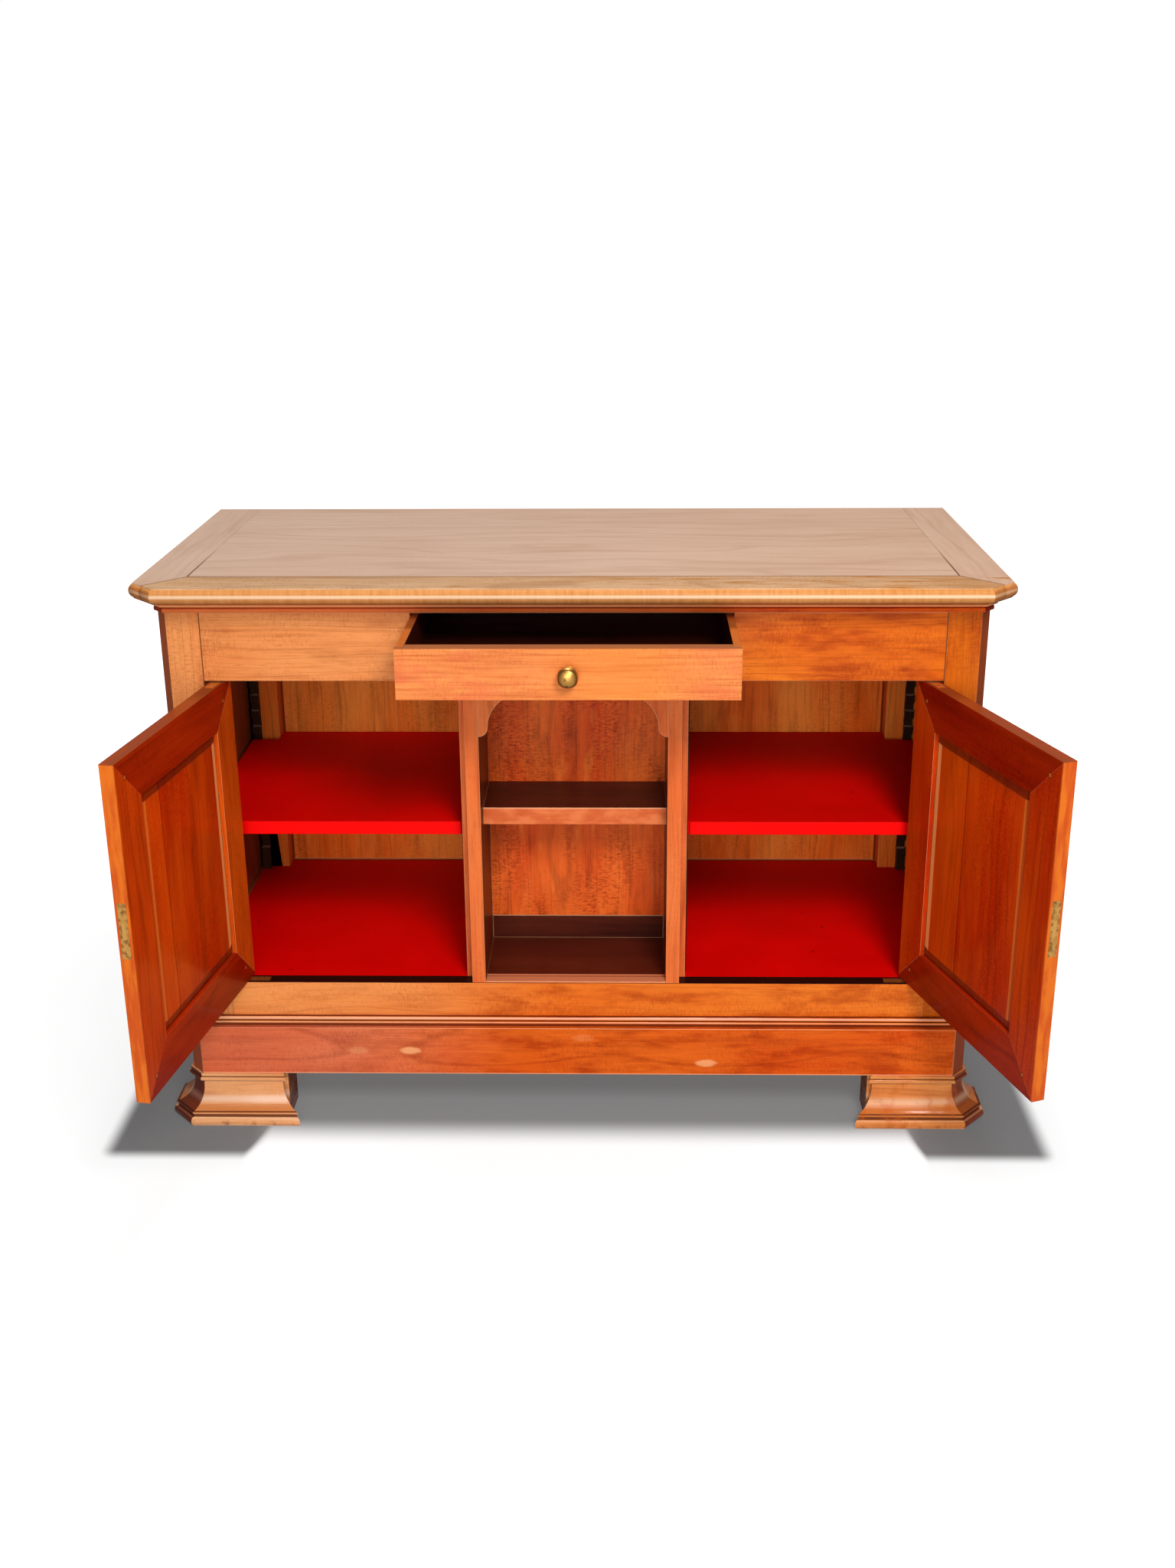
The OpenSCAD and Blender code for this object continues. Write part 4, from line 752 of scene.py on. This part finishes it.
# Red boards: how much painted shade deepens each towards the back
RED_BEVEL = 1.2 * MM
RED_BOARDS = {"left_floor": 0.6, "right_floor": 0.6, "left_shelf": 0.1, "right_shelf": 0.6}
for number, (node, fade) in enumerate(RED_BOARDS.items()):
    eased(node, RED_BEVEL, red_paint("red_" + node, number * 3.7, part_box(node)[0][1], fade))

# Brass pieces: how much hands have rubbed them, and how metallic they look
BRASS_PIECES = {"pivot_sockets": (0.6, 0.85), "left_pivots": (0.6, 0.85), "right_pivots": (0.6, 0.85),
                "left_lock": (0.15, 0.4), "right_lock": (0.15, 0.4),
                "left_bolt": (0.95, 0.3), "right_bolt": (0.95, 0.3), "drawer_knob": (0.6, 0.85)}
for number, (node, (rub, metal)) in enumerate(BRASS_PIECES.items()):
    dress(node, brass("brass_" + node, number * 2.3, rub, metal))


# Floor, light and camera

WHITE = (1.0, 1.0, 1.0, 1.0)
WORLD_LIGHT = 0.2
FLOOR_REACH = 60.0
# The painted shadow's field under the piece: half its width, its middle, half its depth, and how far it
# reaches further at the ends, beside the feet
SHADE_HALF = 0.8
SHADE_MID = FRONT_Y + 0.2
SHADE_DEEP = 0.2
SHADE_END_DEEPER = 0.1
# Light of the floor's glow: within the painted shadow, from its rim on, and far away
GLOW_WITHIN, GLOW_RIM, GLOW_FAR = 0.12, 0.76, 0.36
# How light the floor's own white is: in the painted shadow, at the painted shadow's ends, and for light that
# bounces
FLOOR_TONE, FLOOR_END_TONE, FLOOR_BOUNCE = (0.2, 0.2, 0.2, 1.0), (0.12, 0.12, 0.12, 1.0), (0.4, 0.4, 0.4, 1.0)


def floor_look():
    """White floor. Seen by the camera it glows all round the piece, so that it joins the white background,
    but glows little under it, which paints a shadow over the piece's real shadow, darker still at the ends
    beside the feet, where its own tone is darker too. away: the distance from the painted shadow's field."""
    look = Look(bpy.data.materials.new("floor"))
    seen = look.node("ShaderNodeLightPath", out="Is Camera Ray")
    x, y, _ = look.place()
    end = look.smooth(x, -0.54, -0.58).most(look.smooth(x, 0.58, 0.61))
    beside = (x.size() - SHADE_HALF).most(0.0)
    ahead = ((y - SHADE_MID).size() - (end * SHADE_END_DEEPER + SHADE_DEEP)).most(0.0)
    away = (beside ** 2.0 + ahead ** 2.0) ** 0.5
    # Painted shadow: the floor's own tone is darker at the field's ends, and the glow is left out within the
    # field
    own = look.mix(look.smooth(away, 0.0, 0.1), look.mix(end, FLOOR_TONE, FLOOR_END_TONE), FLOOR_TONE)
    shader = look.node("ShaderNodeBsdfDiffuse", None, {"Color": look.mix(seen, FLOOR_BOUNCE, own)})
    rim = look.smooth(away, 0.0, 0.09 - end * 0.055) * GLOW_RIM
    strength = seen * (rim + look.smooth(away, 0.2, 1.4) * GLOW_FAR + (GLOW_WITHIN - end * 0.03))
    glow = look.node("ShaderNodeEmission", None, {"Color": WHITE, "Strength": strength})
    return look.close(look.node("ShaderNodeAddShader", None, {0: shader, 1: glow}))


def make_floor():
    """A wide level floor."""
    mesh = bpy.data.meshes.new("floor")
    corners = [(x * FLOOR_REACH, y * FLOOR_REACH, 0) for x, y in ((-1, -1), (1, -1), (1, 1), (-1, 1))]
    mesh.from_pydata(corners, [], [(0, 1, 2, 3)])
    mesh.materials.append(floor_look())
    floor = bpy.data.objects.new("floor", mesh)
    bpy.context.scene.collection.objects.link(floor)


def make_world():
    """White behind everything, and WORLD_LIGHT of white as light."""
    look = Look(bpy.data.worlds.new("studio"), "ShaderNodeOutputWorld")
    seen = look.node("ShaderNodeLightPath", out="Is Camera Ray")
    strength = seen * (1.0 - WORLD_LIGHT) + WORLD_LIGHT
    background = look.node("ShaderNodeBackground", None, {"Color": WHITE, "Strength": strength})
    bpy.context.scene.world = look.close(background)


def lamp(name, place, target, size, watts):
    """A soft white lamp that looks at a target."""
    data = bpy.data.lights.new(name, "AREA")
    data.shape = "RECTANGLE"
    data.size, data.size_y = size
    data.energy = watts
    light = bpy.data.objects.new(name, data)
    light.location = place
    light.rotation_mode = "QUATERNION"
    light.rotation_quaternion = (Vector(target) - Vector(place)).to_track_quat("-Z", "Y")
    bpy.context.scene.collection.objects.link(light)


make_floor()
make_world()
lamp("key", (0.9, -3.0, 3.1), (0.0, 0.0, 0.6), (1.0, 1.0), 84)
lamp("fill", (-0.2, -4.2, 1.3), (0.0, 0.0, 0.5), (2.6, 2.0), 77)
lamp("over", (0.1, 0.1, 5.4), (0.1, 0.1, 0.0), (1.4, 1.2), 108)

# The camera, in pixels of the full image and metres, with its turns in radians
IMAGE_W, IMAGE_H = 1535, 2048
FOCAL_PX = 2043.6
CENTRE_PX = (778.04, 923.94)
EYE = (0.08278, -2.43188 + FRONT_Y, 1.60492)
YAW, PITCH, ROLL = -0.018619, -0.326316, -0.005773


def make_camera():
    """The camera's axes from its yaw, pitch and roll; the principal point becomes the lens shift."""
    forward = Vector((math.sin(YAW) * math.cos(PITCH), math.cos(YAW) * math.cos(PITCH), math.sin(PITCH)))
    right = Vector((math.cos(YAW), -math.sin(YAW), 0.0))
    up = right.cross(forward)
    right, up = right * math.cos(ROLL) + up * math.sin(ROLL), up * math.cos(ROLL) - right * math.sin(ROLL)
    data = bpy.data.cameras.new("camera")
    data.sensor_fit = "AUTO"
    data.sensor_width = 36.0
    data.lens = FOCAL_PX * data.sensor_width / IMAGE_H
    data.shift_x = -(CENTRE_PX[0] - IMAGE_W / 2) / IMAGE_H
    data.shift_y = (CENTRE_PX[1] - IMAGE_H / 2) / IMAGE_H
    camera = bpy.data.objects.new("camera", data)
    axes = Matrix((right, up, -forward)).transposed()
    camera.matrix_world = Matrix.Translation(EYE) @ axes.to_4x4()
    bpy.context.scene.collection.objects.link(camera)
    bpy.context.scene.camera = camera


make_camera()
bpy.context.scene.view_settings.view_transform = "Standard"
